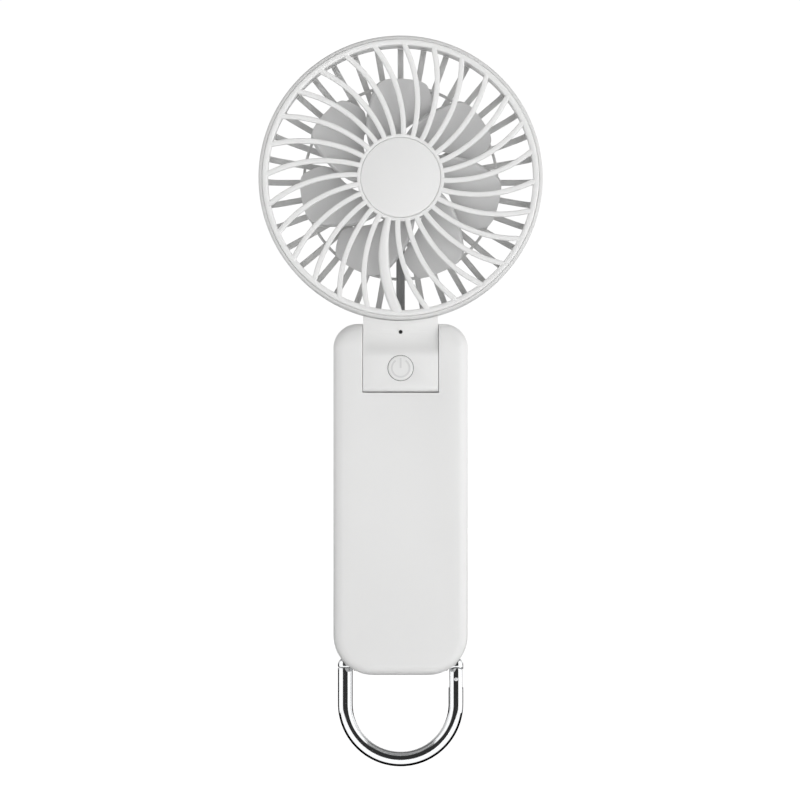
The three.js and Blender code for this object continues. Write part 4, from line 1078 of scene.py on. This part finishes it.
def screws(name, places, seat, head_radius, body, nodes):
    """Screws at (x, z) places, with their heads seated at a depth."""
    mesh = bpy.data.meshes.new(name)
    mesh.from_pydata([(x * MM, seat * MM, z * MM) for x, z in places], [], [])
    pattern = unit_screw()
    piece = grown(new_object(name, mesh), screws_tree, screws_sockets,
                  {"Screw": pattern, "Head": head_radius, "Material": steel})
    bpy.data.objects.remove(pattern)
    finished(piece, name, steel, body, nodes)


screws("handle_screws", SCREW_PLACES, SCREW_SEAT + 0.15, SCREW_HEAD, "handle",
       [f"handle_screw_{i}" for i in range(1, 5)])
screws("neck_screws", NECK_SCREWS, -4.85, 1.6, "head", ["neck_screw_1", "neck_screw_2"])
screws("tang_screws", HEAD_SCREWS, -1.15, 1.4, "head", ["head_screw_1", "head_screw_2"])
screws("motor_screws", motor_screw_places, HEAD_BACK - 0.95, 1.3, "head",
       [f"motor_screw_{i}" for i in range(1, 4)])


# ---- motor lead -------------------------------------------------------------------------------
# A grey two-core lead from the motor's base. It runs down the front of the bottom spoke, through a hole in
# the tang and into the neck. Its grey is partly the lead's own colour and partly painted shade along that
# spoke.
CORE_RADIUS, CORE_APART = 0.62, 1.1
lead_route = [(-2.6, -10.9), (-2.2, -13.3), (-0.9, -17), (-0.9, -24), (-0.9, -31), (-2.4, -34.6),
              (-5.2, -37.4), (-7.4, -39.2), (-8, -41.5), (-8, -44.5), (-8, -49.4)]


def smooth_route(points, steps=8):
    """A smooth curve through the points, as Vectors."""
    padded = [points[0] * 2 - points[1]] + points + [points[-1] * 2 - points[-2]]
    out = []
    for a, b, c, d in zip(padded, padded[1:], padded[2:], padded[3:]):
        for i in range(steps):
            t = i / steps
            out.append(0.5 * (2 * b + (c - a) * t + (2 * a - 5 * b + 4 * c - d) * t ** 2
                              + (3 * b - a - 3 * c + d) * t ** 3))
    return out + [points[-1]]


lead_points = smooth_route([Vector((0, y, head.z + z)) for y, z in lead_route])
lead_section = [(side * CORE_APART / 2 + CORE_RADIUS * math.cos(math.radians(angle)),
                 CORE_RADIUS * math.sin(math.radians(angle)))
                for side, angles in ((1, range(-125, 126, 25)), (-1, range(55, 306, 25)))
                for angle in angles]
lead_stations = []
for i, middle in enumerate(lead_points):
    across = Vector((1, 0, 0))
    lead_stations.append((middle, across, heading(lead_points, i).cross(across), lead_section))
lead = bar("lead", lead_stations)
# The lead's own grey, made darker as painted shade for the bottom spoke it lies on.
lead_grey_and_painted_shade = plastic("lead_sleeve", (0.28, 0.282, 0.285), 0.5)
finished(lead, "motor_lead_sleeve", lead_grey_and_painted_shade, "head", ["motor_lead"])


# ---- inside pieces ----------------------------------------------------------------------------
# The working parts keep their own shapes: board, cell, foam, bearings, magnets and windings, each in
# the finish of the real one.
inside = [
    (plastic("board_green", (0.02, 0.12, 0.055), 0.35), ["control_board"]),
    (plastic("board_black", (0.03, 0.03, 0.032), 0.35), ["button_board"]),
    (plastic("cell_film", (0.045, 0.13, 0.32), 0.28), ["battery"]),
    (plastic("black_foam", (0.02, 0.02, 0.021), 0.9, 0.3), ["battery_front_pad", "battery_back_pad"]),
    (plastic("black_nylon", (0.02, 0.02, 0.022), 0.45),
     ["tact_switch", "motor_base", "usb_c_tongue", "battery_lead"]),
    (steel, ["hinge_pin", "friction_washer_right", "friction_washer_left", "pin_retaining_ring",
             "usb_c_socket", "motor_shaft", "bearing_front", "bearing_rear", "gate_spring"]),
    (plastic("ferrite", (0.03, 0.03, 0.032), 0.65, 0.05), ["magnet_ring"]),
    (metal("copper_wire", (0.72, 0.36, 0.17), 0.25, 0.4, 700.0, (1, 6, 1)), ["motor_stator"]),
]
for finish, pieces in inside:
    for piece_name in pieces:
        mesh = frame["nodes"][piece_name].data
        mesh.materials.clear()
        mesh.materials.append(finish)
